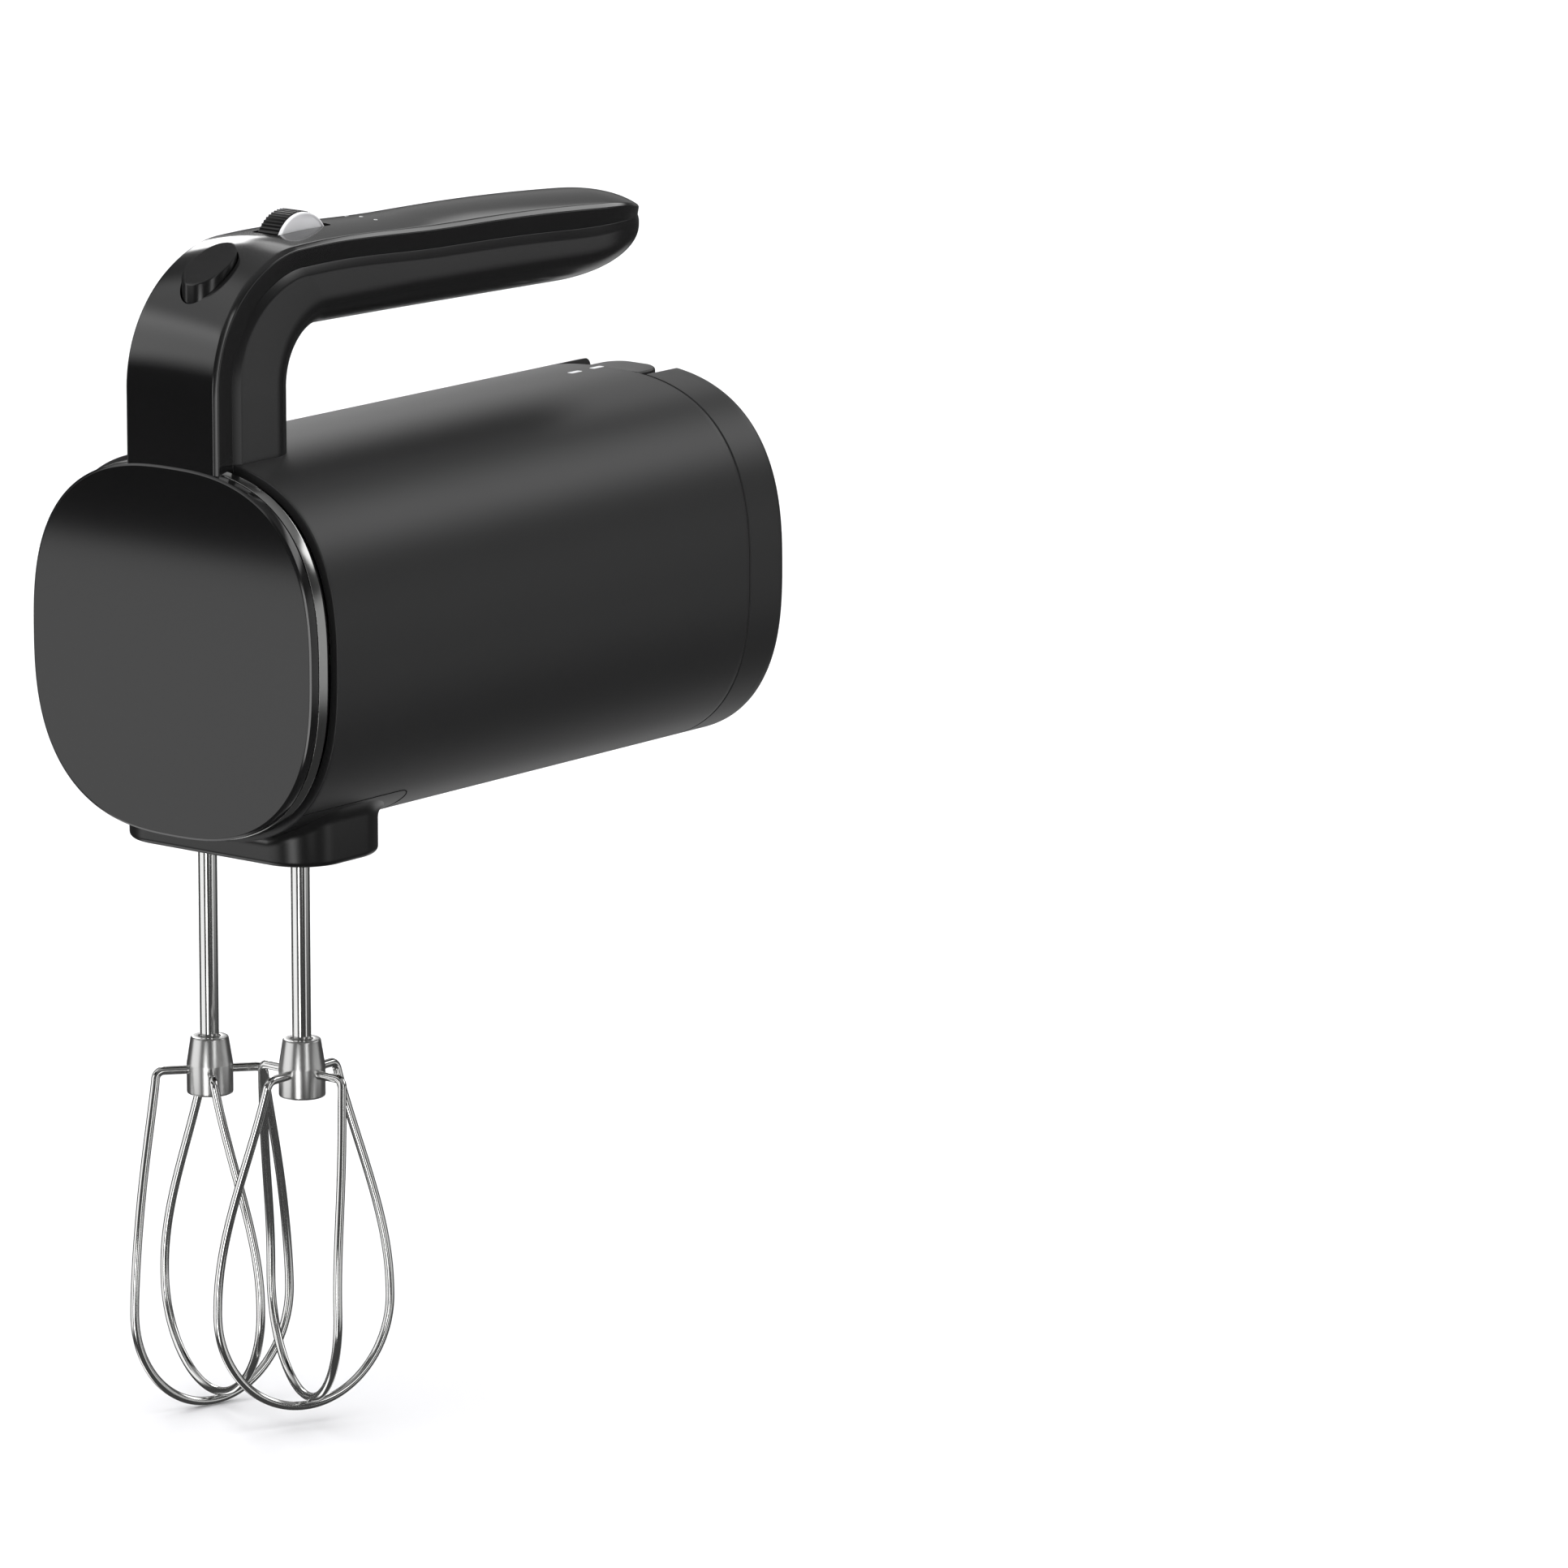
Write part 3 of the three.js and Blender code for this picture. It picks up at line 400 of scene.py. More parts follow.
# ---- materials --------------------------------------------------------------------------
def moulded_group():
    """Moulded or painted plastic: fine grain, faint cloudiness and slightly uneven gloss."""
    group, given, result = node_group("moulded_surface", [
        ("Colour", COLOUR, (0.02, 0.02, 0.02, 1)), ("Cloudiness", FLOAT, 0.08),
        ("Grain", FLOAT, 4000.0), ("Roughness", FLOAT, 0.4), ("Unevenness", FLOAT, 0.04),
    ], [("Colour", COLOUR), ("Roughness", FLOAT), ("Height", FLOAT)])
    where = add_node(group, "ShaderNodeTexCoord").outputs["Object"]
    cloud = add_node(group, "ShaderNodeTexNoise", in_Vector=where, in_Scale=38.0,
                     in_Detail=3.0).outputs["Fac"]
    grain = add_node(group, "ShaderNodeTexNoise", in_Vector=where,
                     in_Scale=given.outputs["Grain"], in_Detail=2.0).outputs["Fac"]
    spread = add_node(group, "ShaderNodeMath", operation="MULTIPLY_ADD", in_0=cloud,
                      in_1=given.outputs["Cloudiness"], in_2=1.0).outputs[0]
    tint = add_node(group, "ShaderNodeVectorMath", operation="SCALE",
                    in_0=given.outputs["Colour"], in_Scale=spread).outputs[0]
    gloss = add_node(group, "ShaderNodeMath", operation="MULTIPLY_ADD", in_0=cloud,
                     in_1=given.outputs["Unevenness"],
                     in_2=given.outputs["Roughness"]).outputs[0]
    group.links.new(tint, result.inputs["Colour"])
    group.links.new(gloss, result.inputs["Roughness"])
    group.links.new(grain, result.inputs["Height"])
    return group


def worked_metal_group():
    """Drawn, ground or cast metal: lines stretched along one axis over fine pits."""
    group, given, result = node_group("worked_metal", [
        ("Colour", COLOUR, (0.6, 0.6, 0.6, 1)), ("Stretch", VECTOR, (1, 1, 1)),
        ("Scale", FLOAT, 900.0), ("Roughness", FLOAT, 0.15), ("Unevenness", FLOAT, 0.08),
    ], [("Colour", COLOUR), ("Roughness", FLOAT), ("Height", FLOAT)])
    where = add_node(group, "ShaderNodeTexCoord").outputs["Object"]
    pulled = add_node(group, "ShaderNodeVectorMath", operation="MULTIPLY", in_0=where,
                      in_1=given.outputs["Stretch"]).outputs[0]
    lines = add_node(group, "ShaderNodeTexNoise", in_Vector=pulled,
                     in_Scale=given.outputs["Scale"], in_Detail=4.0).outputs["Fac"]
    gloss = add_node(group, "ShaderNodeMath", operation="MULTIPLY_ADD", in_0=lines,
                     in_1=given.outputs["Unevenness"],
                     in_2=given.outputs["Roughness"]).outputs[0]
    shade = add_node(group, "ShaderNodeMapRange", in_Value=lines, in_3=0.93,
                     in_4=1.05).outputs[0]
    tint = add_node(group, "ShaderNodeVectorMath", operation="SCALE",
                    in_0=given.outputs["Colour"], in_Scale=shade).outputs[0]
    group.links.new(tint, result.inputs["Colour"])
    group.links.new(gloss, result.inputs["Roughness"])
    group.links.new(lines, result.inputs["Height"])
    return group


MOULDED, WORKED = moulded_group(), worked_metal_group()


def material(name, group, values, bump, **shader):
    """A Principled material whose colour, roughness and bump come from a shared group."""
    made = bpy.data.materials.new(name)
    made.use_nodes = True
    tree = made.node_tree
    base = tree.nodes["Principled BSDF"]
    effect = tree.nodes.new("ShaderNodeGroup")
    effect.node_tree = group
    for label, value in values.items():
        effect.inputs[label].default_value = value
    tree.links.new(effect.outputs["Colour"], base.inputs["Base Color"])
    tree.links.new(effect.outputs["Roughness"], base.inputs["Roughness"])
    relief = add_node(tree, "ShaderNodeBump", in_Height=effect.outputs["Height"],
                      in_Distance=bump / 1000, in_Strength=1.0)
    tree.links.new(relief.outputs["Normal"], base.inputs["Normal"])
    for label, value in shader.items():
        base.inputs[label.replace("_", " ")].default_value = value
    made.diffuse_color = (*values["Colour"][:3], 1)
    return made


def plastic(name, shade, roughness, bump=0.002, cloud=0.1, grain=5000.0, uneven=0.03,
            **shader):
    """Moulded plastic; one number is a faintly cool grey, and bump is in millimetres."""
    colour = shade if isinstance(shade, tuple) else (shade, shade, shade * 1.02)
    return material(name, MOULDED, {
        "Colour": (*colour, 1), "Cloudiness": cloud, "Grain": grain,
        "Roughness": roughness, "Unevenness": uneven}, bump, **shader)


def metal(name, shade, roughness, stretch=(1, 1, 1), scale=900.0, bump=0.002, uneven=0.06):
    """Worked metal; one number is a faintly warm grey, and bump is in millimetres."""
    colour = shade if isinstance(shade, tuple) else (shade, shade, shade * 0.99)
    return material(name, WORKED, {
        "Colour": (*colour, 1), "Stretch": stretch, "Scale": scale,
        "Roughness": roughness, "Unevenness": uneven}, bump, Metallic=1.0)


gloss_black = plastic("gloss_black", 0.006, 0.13, bump=0.0006, Coat_Weight=0.4,
                      Coat_Roughness=0.05)
grip_black = plastic("grip_black", 0.007, 0.2, bump=0.001)
barrel_black = plastic("barrel_black", 0.013, 0.40, bump=0.0015, uneven=0.02)
face_black = plastic("face_black", 0.006, 0.10, bump=0.0008, cloud=0.05, uneven=0.01)
collar_black = plastic("collar_black", 0.005, 0.3, bump=0.001)
button_black = plastic("button_black", 0.005, 0.2, bump=0.001)
dial_black = plastic("dial_black", 0.012, 0.38, bump=0.002)
dial_grey = plastic("dial_grey", 0.05, 0.4, bump=0.001)
rubber_black = plastic("rubber_black", 0.004, 0.7, bump=0.004)
# near-black painted shade for the insert's seam: it stands for the shadow in the groove between
# insert and barrel
seam_shade_black = plastic("seam_shade_black", 0.002, 0.9)
mark_white = plastic("mark_white", 0.82, 0.45)
lamp_clear = plastic("lamp_clear", 0.42, 0.25)
nylon = plastic("nylon_natural", (0.70, 0.67, 0.58), 0.42, bump=0.003,
                Subsurface_Weight=0.15)
inner_black = plastic("inner_black", 0.02, 0.5, bump=0.003)
board_green = plastic("board_green", (0.015, 0.10, 0.045), 0.35, bump=0.004,
                      cloud=0.3)
cell_blue = plastic("cell_blue", (0.04, 0.15, 0.36), 0.3)
polished_steel = metal("polished_steel", 0.66, 0.10, (1, 1, 0.02), 1500.0, 0.0001, 0.02)
wire_steel = metal("wire_steel", 0.66, 0.12, (1, 1, 0.1), 1200.0, 0.0001, 0.02)
hub_steel = metal("hub_steel", 0.58, 0.27, (1, 1, 0.05), 1500.0, 0.0003, 0.03)
rim_chrome = metal("dark_chrome", 0.38, 0.14, bump=0.0002, uneven=0.02)
plain_steel = metal("plain_steel", 0.52, 0.25)
cast_metal = metal("cast_metal", 0.42, 0.45, scale=700.0, bump=0.02)
motor_steel = metal("motor_steel", 0.48, 0.3, (1, 0.05, 1), 1500.0)
copper = metal("copper_winding", (0.72, 0.36, 0.19), 0.3, (1, 0.1, 1), 1800.0, 0.01)
brass = metal("contact_brass", (0.76, 0.56, 0.24), 0.22)


def dress(piece, finish, body, slot, *nodes):
    """Gives a new piece its finish and body, and hides the CAD nodes that it stands for; slot
    is not used.
    """
    piece.data.materials.clear()
    piece.data.materials.append(finish)
    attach(piece, body)
    if nodes:
        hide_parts(*nodes)
    return piece


# ---- barrel -------------------------------------------------------------------------------
def double_wall():
    """Inset and y once round the wall of the barrel, with its two outer edges eased."""
    front, rear, wall = BARREL["front"], BARREL["rear"], BARREL["wall"]
    along_barrel = [(0.0, y) for y in np.linspace(front + 2, rear - 2, 60)]
    front_edge = eased([(wall, front), (0.0, front), (0.0, front + 1.5)], 0.4)
    rear_edge = eased([(0.0, rear - 1.5), (0.0, rear), (wall, rear)], 0.3)
    return np.concatenate([front_edge, along_barrel, rear_edge, [(wall, front)]])


def prism(name, outline, low, high):
    """A closed outline in x and y carried straight up."""
    rows = [np.concatenate([outline, np.full((len(outline), 1), z)], 1) for z in (low, high)]
    return surface(name, np.stack(rows))


sleeve = surface("barrel_skin", round_stack(barrel_outline, double_wall()), caps=False)
collar_opening = rounded_rectangle(27, 10, 9, (0, COLLAR["y"]))
rod_opening = rounded_rectangle(9, 8, 3, (0, 20))
cut(sleeve, prism("collar_opening", collar_opening, -70, -20),
    prism("rod_opening", rod_opening, 30, 70))
dress(sleeve, barrel_black, "housing", "satin_black_barrel", "barrel_sleeve")


# ---- front plate and its rim ---------------------------------------------------------------
def cover_outline(inset):
    """The front plate's superellipse in x and z, drawn in by an inset."""
    return superellipse(COVER["half_width"] - inset, COVER["half_height"] - inset,
                        BARREL["power"])


# inset and y of each row, from the middle of the face round the edge to the back
plate_profile = np.concatenate([
    [(45.0, 0.0), (30.0, 0.0), (15.0, 0.0), (5.0, 0.0), (2.0, 0.0)],
    eased([(1.7, 0.0), (1.25, 0.0), (0.6, 0.38), (0.5, 2.9), (2.6, 2.9)],
          [0.08, 0.1, 0.15])])
plate = surface("front_plate", round_stack(cover_outline, plate_profile))
dress(plate, face_black, "housing", "front_face", "front_cover")
rim_profile = eased([(3.4, 3.05), (0.35, 3.05), (0.0, 6.0), (0.3, 6.5), (3.4, 6.5)],
                    [0.08, 0.3, 0.2])
rim = surface("front_rim", round_stack(cover_outline, rim_profile))
dress(rim, rim_chrome, "housing", "front_face")
gasket = surface("front_gasket_ring", round_stack(barrel_outline, [
    (5.3, 6.6), (2.8, 6.6), (2.8, 8.5), (5.3, 8.5)]))
dress(gasket, rubber_black, "housing", "rubber_black", "front_gasket")


# ---- handle --------------------------------------------------------------------------------
OUTER = (COLUMN["front"] + BEND["outer"], COLUMN["top"])
INNER = (COLUMN["rear"] + BEND["inner"], GRIP["under_front"] - BEND["inner"])


def shoulder(y):
    """A low rise round the dial: one smoothstep up over the bend, one down the grip."""
    climb = smoothstep(y, SHOULDER["climb_from"], SHOULDER["climb_to"])
    fade = smoothstep(y, SHOULDER["fade_from"], SHOULDER["fade_to"])
    return SHOULDER["rise"] * climb * (1 - fade)


def closing(y, start, power):
    """The superellipse (1 - t to the power) to the 1/power, t from start to the tip."""
    t = np.clip((y - start) / (TAIL["end"] - start), 0, 1)
    return (1 - t ** power) ** (1 / power)


def crest_height(y):
    """Two parabolas that meet at the crest, with the shoulder, closing at the tip."""
    front_fall = ((GRIP["crest"] - OUTER[1] - BEND["outer"])
                  / (GRIP["crest_at"] - OUTER[0]) ** 2)
    fall = np.where(y < GRIP["crest_at"], front_fall, TAIL["fall"])
    on_grip = GRIP["crest"] - fall * (y - GRIP["crest_at"]) ** 2 + shoulder(y)
    return TAIL["level"] + ((on_grip - TAIL["level"])
                            * closing(y, TAIL["top_start"], TAIL["top_power"]))


def under_height(y):
    """A straight underside that closes upwards at the tip."""
    slope = (GRIP["under_rear"] - GRIP["under_front"]) / (TAIL["start"] - INNER[0])
    straight_part = GRIP["under_front"] + slope * (y - INNER[0])
    return TAIL["level"] - ((TAIL["level"] - straight_part)
                            * closing(y, TAIL["start"], TAIL["under_power"]))


def grip_crown(y):
    """How far the grip's edges lie under its middle: a smoothstep after the bend."""
    return (CROWN["bend"] + (CROWN["grip"] - CROWN["bend"])
            * smoothstep(y, OUTER[0], CROWN["full_at"]))


def handle_stations(column=10, bend=44, grip=70, tail=44):
    """Outer and inner points of the handle's middle plane, with half width and crown."""
    bend_turn = np.linspace(np.pi, np.pi / 2, bend)
    on_grip = np.linspace(0, 1, grip + 1)[1:]
    tail_y = TAIL["start"] + (TAIL["end"] - TAIL["start"]) * np.sin(
        np.linspace(0, np.pi / 2, tail + 1)[1:])
    grip_outer = OUTER[0] + (TAIL["start"] - OUTER[0]) * on_grip
    grip_inner = INNER[0] + (TAIL["start"] - INNER[0]) * on_grip
    bend_outer = OUTER[0] + BEND["outer"] * np.cos(bend_turn)
    outer_y = np.concatenate([np.full(column, COLUMN["front"]), bend_outer, grip_outer,
                              tail_y])
    outer_z = np.concatenate([np.linspace(COLUMN["foot"], OUTER[1], column + 1)[:-1],
                              OUTER[1] + BEND["outer"] * np.sin(bend_turn)
                              + shoulder(bend_outer),
                              crest_height(grip_outer), crest_height(tail_y)])
    inner_y = np.concatenate([np.full(column, COLUMN["rear"]),
                              INNER[0] + BEND["inner"] * np.cos(bend_turn),
                              grip_inner, tail_y])
    inner_z = np.concatenate([np.linspace(COLUMN["foot"], INNER[1], column + 1)[:-1],
                              INNER[1] + BEND["inner"] * np.sin(bend_turn),
                              under_height(grip_inner), under_height(tail_y)])
    share = np.concatenate([np.zeros(column), 0.7 * np.linspace(0, 1, bend),
                            0.7 + 0.3 * np.minimum(1, 3 * on_grip), np.ones(tail)])
    width = COLUMN["half_width"] + (GRIP["half_width"] - COLUMN["half_width"]) * share
    narrow = np.clip((tail_y - TAIL["narrow_from"])
                     / (TAIL["end"] + 0.1 - TAIL["narrow_from"]), 0, 1)
    pinch = (1 - narrow ** TAIL["narrow_power"]) ** (1 / TAIL["narrow_power"])
    width[-tail:] *= pinch
    crown = np.concatenate([np.full(column, CROWN["column"]),
                            np.linspace(CROWN["column"], CROWN["bend"], bend),
                            grip_crown(grip_outer), CROWN["grip"] * pinch])
    crown = crown + 0.5 * shoulder(outer_y)
    return (np.stack([outer_y, outer_z], -1), np.stack([inner_y, inner_z], -1), width, crown)


def swept_handle(section):
    """Carries a section of (x, depth) along the handle; depth runs from outer to inner."""
    outer, inner, width, crown = handle_stations()
    depth = np.linalg.norm(inner - outer, axis=1)
    down = (inner - outer) / np.maximum(depth, 1e-6)[:, None]
    down[-1] = down[-2]
    rows = []
    for i in range(len(outer)):
        flat = section(width[i], crown[i], depth[i], min(1, depth[i] / SEAM["full_depth"]))
        run = outer[i] + flat[:, 1:] * down[i]
        rows.append(np.concatenate([flat[:, :1], run], 1))
    return np.stack(rows)


def cover_section(width, crown, depth, scale):
    """Parabolic crowned top, a narrow chamfer and the upper side of the V groove."""
    edge = width - SEAM["land"] * scale
    x = np.linspace(0, edge, 15)
    top = np.stack([x, crown * (x / edge) ** 2 if edge > 0 else x], -1)
    side = [top[-1], (width, crown + SEAM["chamfer"] * scale),
            (width - SEAM["inset"] * scale, SEAM["depth"] * scale + crown * 0.5)]
    right_side = np.concatenate([top[:-1], eased(
        [top[-2], *side], [0.35 * scale + 1e-6, 0.3 * scale + 1e-6], 6)[1:]])
    return np.concatenate([right_side[:0:-1] * [-1, 1], right_side])


def grip_section(width, crown, depth, scale):
    """Lower side of the V groove, a flat flank and a softly rounded underside."""
    turn_radius = min(11.0, depth * 0.4)
    angle = np.linspace(0, np.pi / 2, 16)
    low = np.stack([width * np.cos(angle) ** 0.85,
                    depth - turn_radius + turn_radius * np.sin(angle) ** 0.85], -1)
    under_edge = crown * 0.5
    start = [(width - (SEAM["inset"] + 1.4) * scale,
              (SEAM["depth"] + 0.1) * scale + under_edge),
             (width - (SEAM["inset"] + 0.02) * scale,
              (SEAM["depth"] + 0.12) * scale + under_edge),
             (width, SEAM["lower"] * scale + under_edge), tuple(low[0])]
    groove = eased(start, [0.1 * scale + 1e-6, 0.6 * scale + 1e-6], 6)[:-1]
    right_side = np.concatenate([groove, low])
    return np.concatenate([right_side, (right_side * [-1, 1])[-2::-1]])


def oval(grow):
    """The eject button's ellipse in x and y, with both half axes grown by one length."""
    angle = np.linspace(0, 2 * np.pi, 96, endpoint=False)
    return np.stack([(BUTTON["half_width"] + grow) * np.cos(angle),
                     BUTTON["y"] + (BUTTON["half_length"] + grow) * np.sin(angle)], -1)


top_skin = surface("handle_top_skin", swept_handle(cover_section), closed=False)
thicken(top_skin, SHELL_WALL)
slot_outline = rounded_rectangle(DIAL["width"] / 2 + 0.5, DIAL["radius"] + 0.9, 1.4,
                                 (0, DIAL["y"]))
cut(top_skin, prism("button_hole", oval(0.45), 80, 125),
    prism("dial_hole", slot_outline, 96, 120))
dress(top_skin, gloss_black, "housing", "gloss_black", "handle_top_cover")

grip_skin = surface("handle_grip_skin", swept_handle(grip_section), closed=False)
thicken(grip_skin, SHELL_WALL)
dress(grip_skin, grip_black, "housing", "satin_black_grip", "handle_grip_shell")

# ---- eject button -----------------------------------------------------------------------
# growth of the oval and drop under the sloping top; the first row is the foot
button_rows = []
for grow, drop in ((0.0, None), (0.0, 0.35), (-0.08, 0.14), (-0.28, 0.02), (-0.6, 0.0),
                   (-2.5, 0.04), (-4.6, 0.07), (-6.4, 0.08)):
    ring = oval(grow)
    z = (np.full(len(ring), BUTTON["bottom"]) if drop is None
         else BUTTON["z"] - drop + BUTTON["rise"] * (ring[:, 1] - BUTTON["y"]))
    button_rows.append(np.concatenate([ring, z[:, None]], 1))
button = surface("eject_cap", np.stack(button_rows))
dress(button, button_black, "eject", "satin_black_button", "eject_button")


# ---- speed dial ---------------------------------------------------------------------------
def ribbed_wheel():
    """Rows across the wheel's width; the radius ripples with the angle to make the ribs."""
    angle = np.linspace(0, 2 * np.pi, DIAL["ribs"] * 8, endpoint=False)
    ripple = DIAL["ripple"] * np.clip(1.6 * np.cos(DIAL["ribs"] * angle), -1, 1)
    half = DIAL["width"] / 2
    profile = [(1.6, -half + 0.6, 0), (8.0, -half + 0.6, 0), (9.6, -half, 0),
               (DIAL["radius"] - 0.45, -half, 0), (DIAL["radius"] - 0.22, -half + 0.3, 1),
               (DIAL["radius"] - 0.22, half - 1.5, 1), (DIAL["radius"] - 0.5, half - 1.3, 0),
               (1.6, half - 1.3, 0)]
    rows = []
    for radius, x, rippled in profile:
        reach = radius + rippled * ripple
        rows.append(np.stack([np.full_like(angle, x), DIAL["y"] + reach * np.cos(angle),
                              DIAL["z"] + reach * np.sin(angle)], -1))
    return np.stack(rows)


wheel = surface("dial_ribbed_wheel", ribbed_wheel())
dress(wheel, dial_black, "dial", "matte_black_dial", "dial_wheel")
half_dial = DIAL["width"] / 2
ring_profile = eased([(RING["inner"], half_dial - RING["depth"]),
                      (RING["outer"], half_dial - RING["depth"]),
                      (RING["outer"], half_dial - 0.1), (RING["outer"] - 0.4, half_dial),
                      (RING["inner"], half_dial - 0.2)], [0.2, 0.35, 0.2])
ring_grid = turned(ring_profile, "x", (0, DIAL["y"], DIAL["z"]), 96)
inner_rows = np.hypot(ring_grid[..., 1] - DIAL["y"], ring_grid[..., 2] - DIAL["z"]) < 9.2
ring_grid[inner_rows] += RING["inner_shift"]
ring = surface("dial_white_ring", ring_grid)
dress(ring, mark_white, "dial", "white_mark", "dial_pointer_ring")
disc_radius = RING["inner"] - 0.05
disc_profile = [(0.0, half_dial - RING["depth"]), (disc_radius, half_dial - RING["depth"]),
                (disc_radius, half_dial - 0.3), (8.0, half_dial - 0.35),
                (4.0, half_dial - 0.8), (0.0, half_dial - 0.95)]
disc_middle = np.array([0, DIAL["y"], DIAL["z"]]) + RING["inner_shift"]
disc = surface("dial_dished_disc", turned(disc_profile, "x", disc_middle, 96), caps=False)
dress(disc, dial_grey, "dial", "matte_black_dial")

# ---- lamps ----------------------------------------------------------------------------------
for side, label in ((-1, "left"), (0, "centre"), (1, "right")):
    x = side * LAMPS["pitch"]
    crown_here = grip_crown(LAMPS["y"]) + 0.5 * shoulder(LAMPS["y"])
    level = crest_height(np.array(LAMPS["y"])) - crown_here * (x / GRIP["half_width"]) ** 2
    dome = [(0.0, level - 3.0), (LAMPS["radius"], level - 3.0), (LAMPS["radius"], level),
            (LAMPS["radius"] * 0.7, level + 0.07), (0.0, level + 0.1)]
    lens = surface(f"lamp_lens_{label}", turned(dome, "z", (x, LAMPS["y"], 0), 32),
                   caps=False)
    dress(lens, lamp_clear, "housing", "lamp_clear", f"lamp_pipe_{label}")


# ---- collar under the barrel --------------------------------------------------------------
def collar_rows():
    """A fillet off the barrel's skin, a straight wall and a rounded bottom edge."""
    outline = rounded_rectangle(COLLAR["half_width"], COLLAR["half_length"], COLLAR["corner"],
                                (0, COLLAR["y"]), 24)
    ahead = np.roll(outline, -1, 0) - np.roll(outline, 1, 0)
    normal = np.stack([ahead[:, 1], -ahead[:, 0]], -1)
    normal /= np.linalg.norm(normal, axis=1, keepdims=True)
    fillet, edge = COLLAR["fillet"], COLLAR["edge"]
    wide = outline + fillet * normal
    meet = -barrel_height(outline[:, 0])
    top = -barrel_height(wide[:, 0], 0.25)
    rows = [np.concatenate([wide, top[:, None] + 6], 1)]
    for t in np.linspace(0, 1, 9):
        flat = (1 - t) ** 2 * wide + (2 * t * (1 - t) + t ** 2) * outline
        z = (1 - t) ** 2 * top + 2 * t * (1 - t) * meet + t ** 2 * (meet - fillet)
        rows.append(np.concatenate([flat, z[:, None]], 1))
    for t in np.linspace(0, np.pi / 2, 7):
        flat = outline - normal * edge * (1 - np.cos(t))
        z = np.full(len(outline), COLLAR["bottom"] + edge * (1 - np.sin(t)))
        rows.append(np.concatenate([flat, z[:, None]], 1))
    return np.stack(rows)


collar = surface("collar_body", collar_rows())
bore_profile = [(COLLAR["bore"], -75), (COLLAR["bore"], -20)]
bores = [surface(f"bore_{x:.0f}", turned(bore_profile, "z", (x, COLLAR["y"], 0), 64))
         for x in (-BEATER["offset"], BEATER["offset"])]
cut(collar, *bores)
dress(collar, collar_black, "housing", "satin_black_collar", "collar_housing")


# ---- beaters --------------------------------------------------------------------------------
def cage_radius(share):
    """Swells with a sine eased by a cubic, then closes along a quarter ellipse."""
    t = np.clip(share / CAGE["widest_at"], 0, 1)
    swell = ((1 - CAGE["ease"]) * np.sin(np.pi / 2 * t)
             + CAGE["ease"] * smoothstep(share, 0, CAGE["widest_at"]))
    u = np.clip((share - CAGE["widest_at"]) / (1 - CAGE["widest_at"]), 0, 1)
    return np.where(share < CAGE["widest_at"],
                    WIRE["arm"] + (CAGE["widest"] - WIRE["arm"]) * swell,
                    CAGE["widest"] * np.sqrt(1 - u ** 2))


def wire_path(facing, hand, drop, middle):
    """Arm, bent corner, twisted cage side and back up the other side, as one run."""
    corner = WIRE["corner"]
    angle = np.linspace(0, np.pi / 2, 9)
    share = np.concatenate([np.linspace(0, CAGE["widest_at"], 50)[1:],
                            CAGE["widest_at"] + (1 - CAGE["widest_at"])
                            * np.sin(np.linspace(0, np.pi / 2, 34)[1:])])
    radius = np.concatenate([[HUB["radius"] - 1.5, WIRE["arm"] - corner - 2],
                             WIRE["arm"] - corner + corner * np.sin(angle),
                             cage_radius(share)])
    depth = np.concatenate([[0, 0], corner * (1 - np.cos(angle)),
                            corner + share * (drop - corner)])
    azimuth = np.radians(facing) + hand * np.radians(WIRE["twist"]) * np.sin(
        np.minimum(1, depth / WIRE["twist_depth"]) * np.pi / 2)
    out = np.stack([np.cos(azimuth), np.sin(azimuth)], -1)
    near = np.concatenate([radius[:, None] * out, -depth[:, None]], 1)
    far = np.concatenate([-radius[:, None] * out, -depth[:, None]], 1)
    sideways = np.stack([-np.sin(azimuth), np.cos(azimuth), np.zeros_like(azimuth)], -1)
    path = np.concatenate([near, far[-2::-1]]) + middle
    return path, np.concatenate([sideways, sideways[-2::-1]])


for label, sign, hand in (("left", -1, 1), ("right", 1, -1)):
    arms = BEATER["arms"] + (BEATER["lift"] if sign > 0 else 0.0)
    middle = np.array([sign * BEATER["offset"], BEATER["y"], arms])
    reach = BEATER["top"] - arms
    r = BEATER["shaft"]
    stem = eased([(0, HUB["above"] - 2), (r, HUB["above"] - 2), (r, reach - 8), (2, reach - 7),
                  (2, reach - 4), (r, reach - 3), (r - 0.9, reach), (0, reach)], 0.25)
    shaft = surface(f"beater_stem_{label}", turned(stem, "z", middle, 48), caps=False)
    dress(shaft, polished_steel, f"{label}_beater", "polished_steel", f"beater_shaft_{label}")
    body = eased([(0, -HUB["below"]), (HUB["radius"], -HUB["below"]), (HUB["radius"], 1.6),
                  (HUB["top"], HUB["above"]), (BEATER["shaft"] + 0.5, HUB["above"]),
                  (BEATER["shaft"] + 0.3, HUB["above"] - 0.7), (0, HUB["above"] - 0.7)],
                 [0.6, 0.12, 0.5, 0.2, 0.1])
    hub = surface(f"beater_boss_{label}", turned(body, "z", middle, 64), caps=False)
    dress(hub, hub_steel, f"{label}_beater", "polished_steel", f"beater_hub_{label}")
    for i, letter in enumerate("ab"):
        path, sideways = wire_path(WIRE[label] + i * WIRE["apart"], hand,
                                   WIRE["deepest"] - i * WIRE["crossing"], middle)
        wire = surface(f"beater_loop_{label}_{letter}",
                       round_bar(path, WIRE["radius"], sideways, 20))
        dress(wire, wire_steel, f"{label}_beater", "polished_steel",
              f"beater_wire_{label}_{letter}")


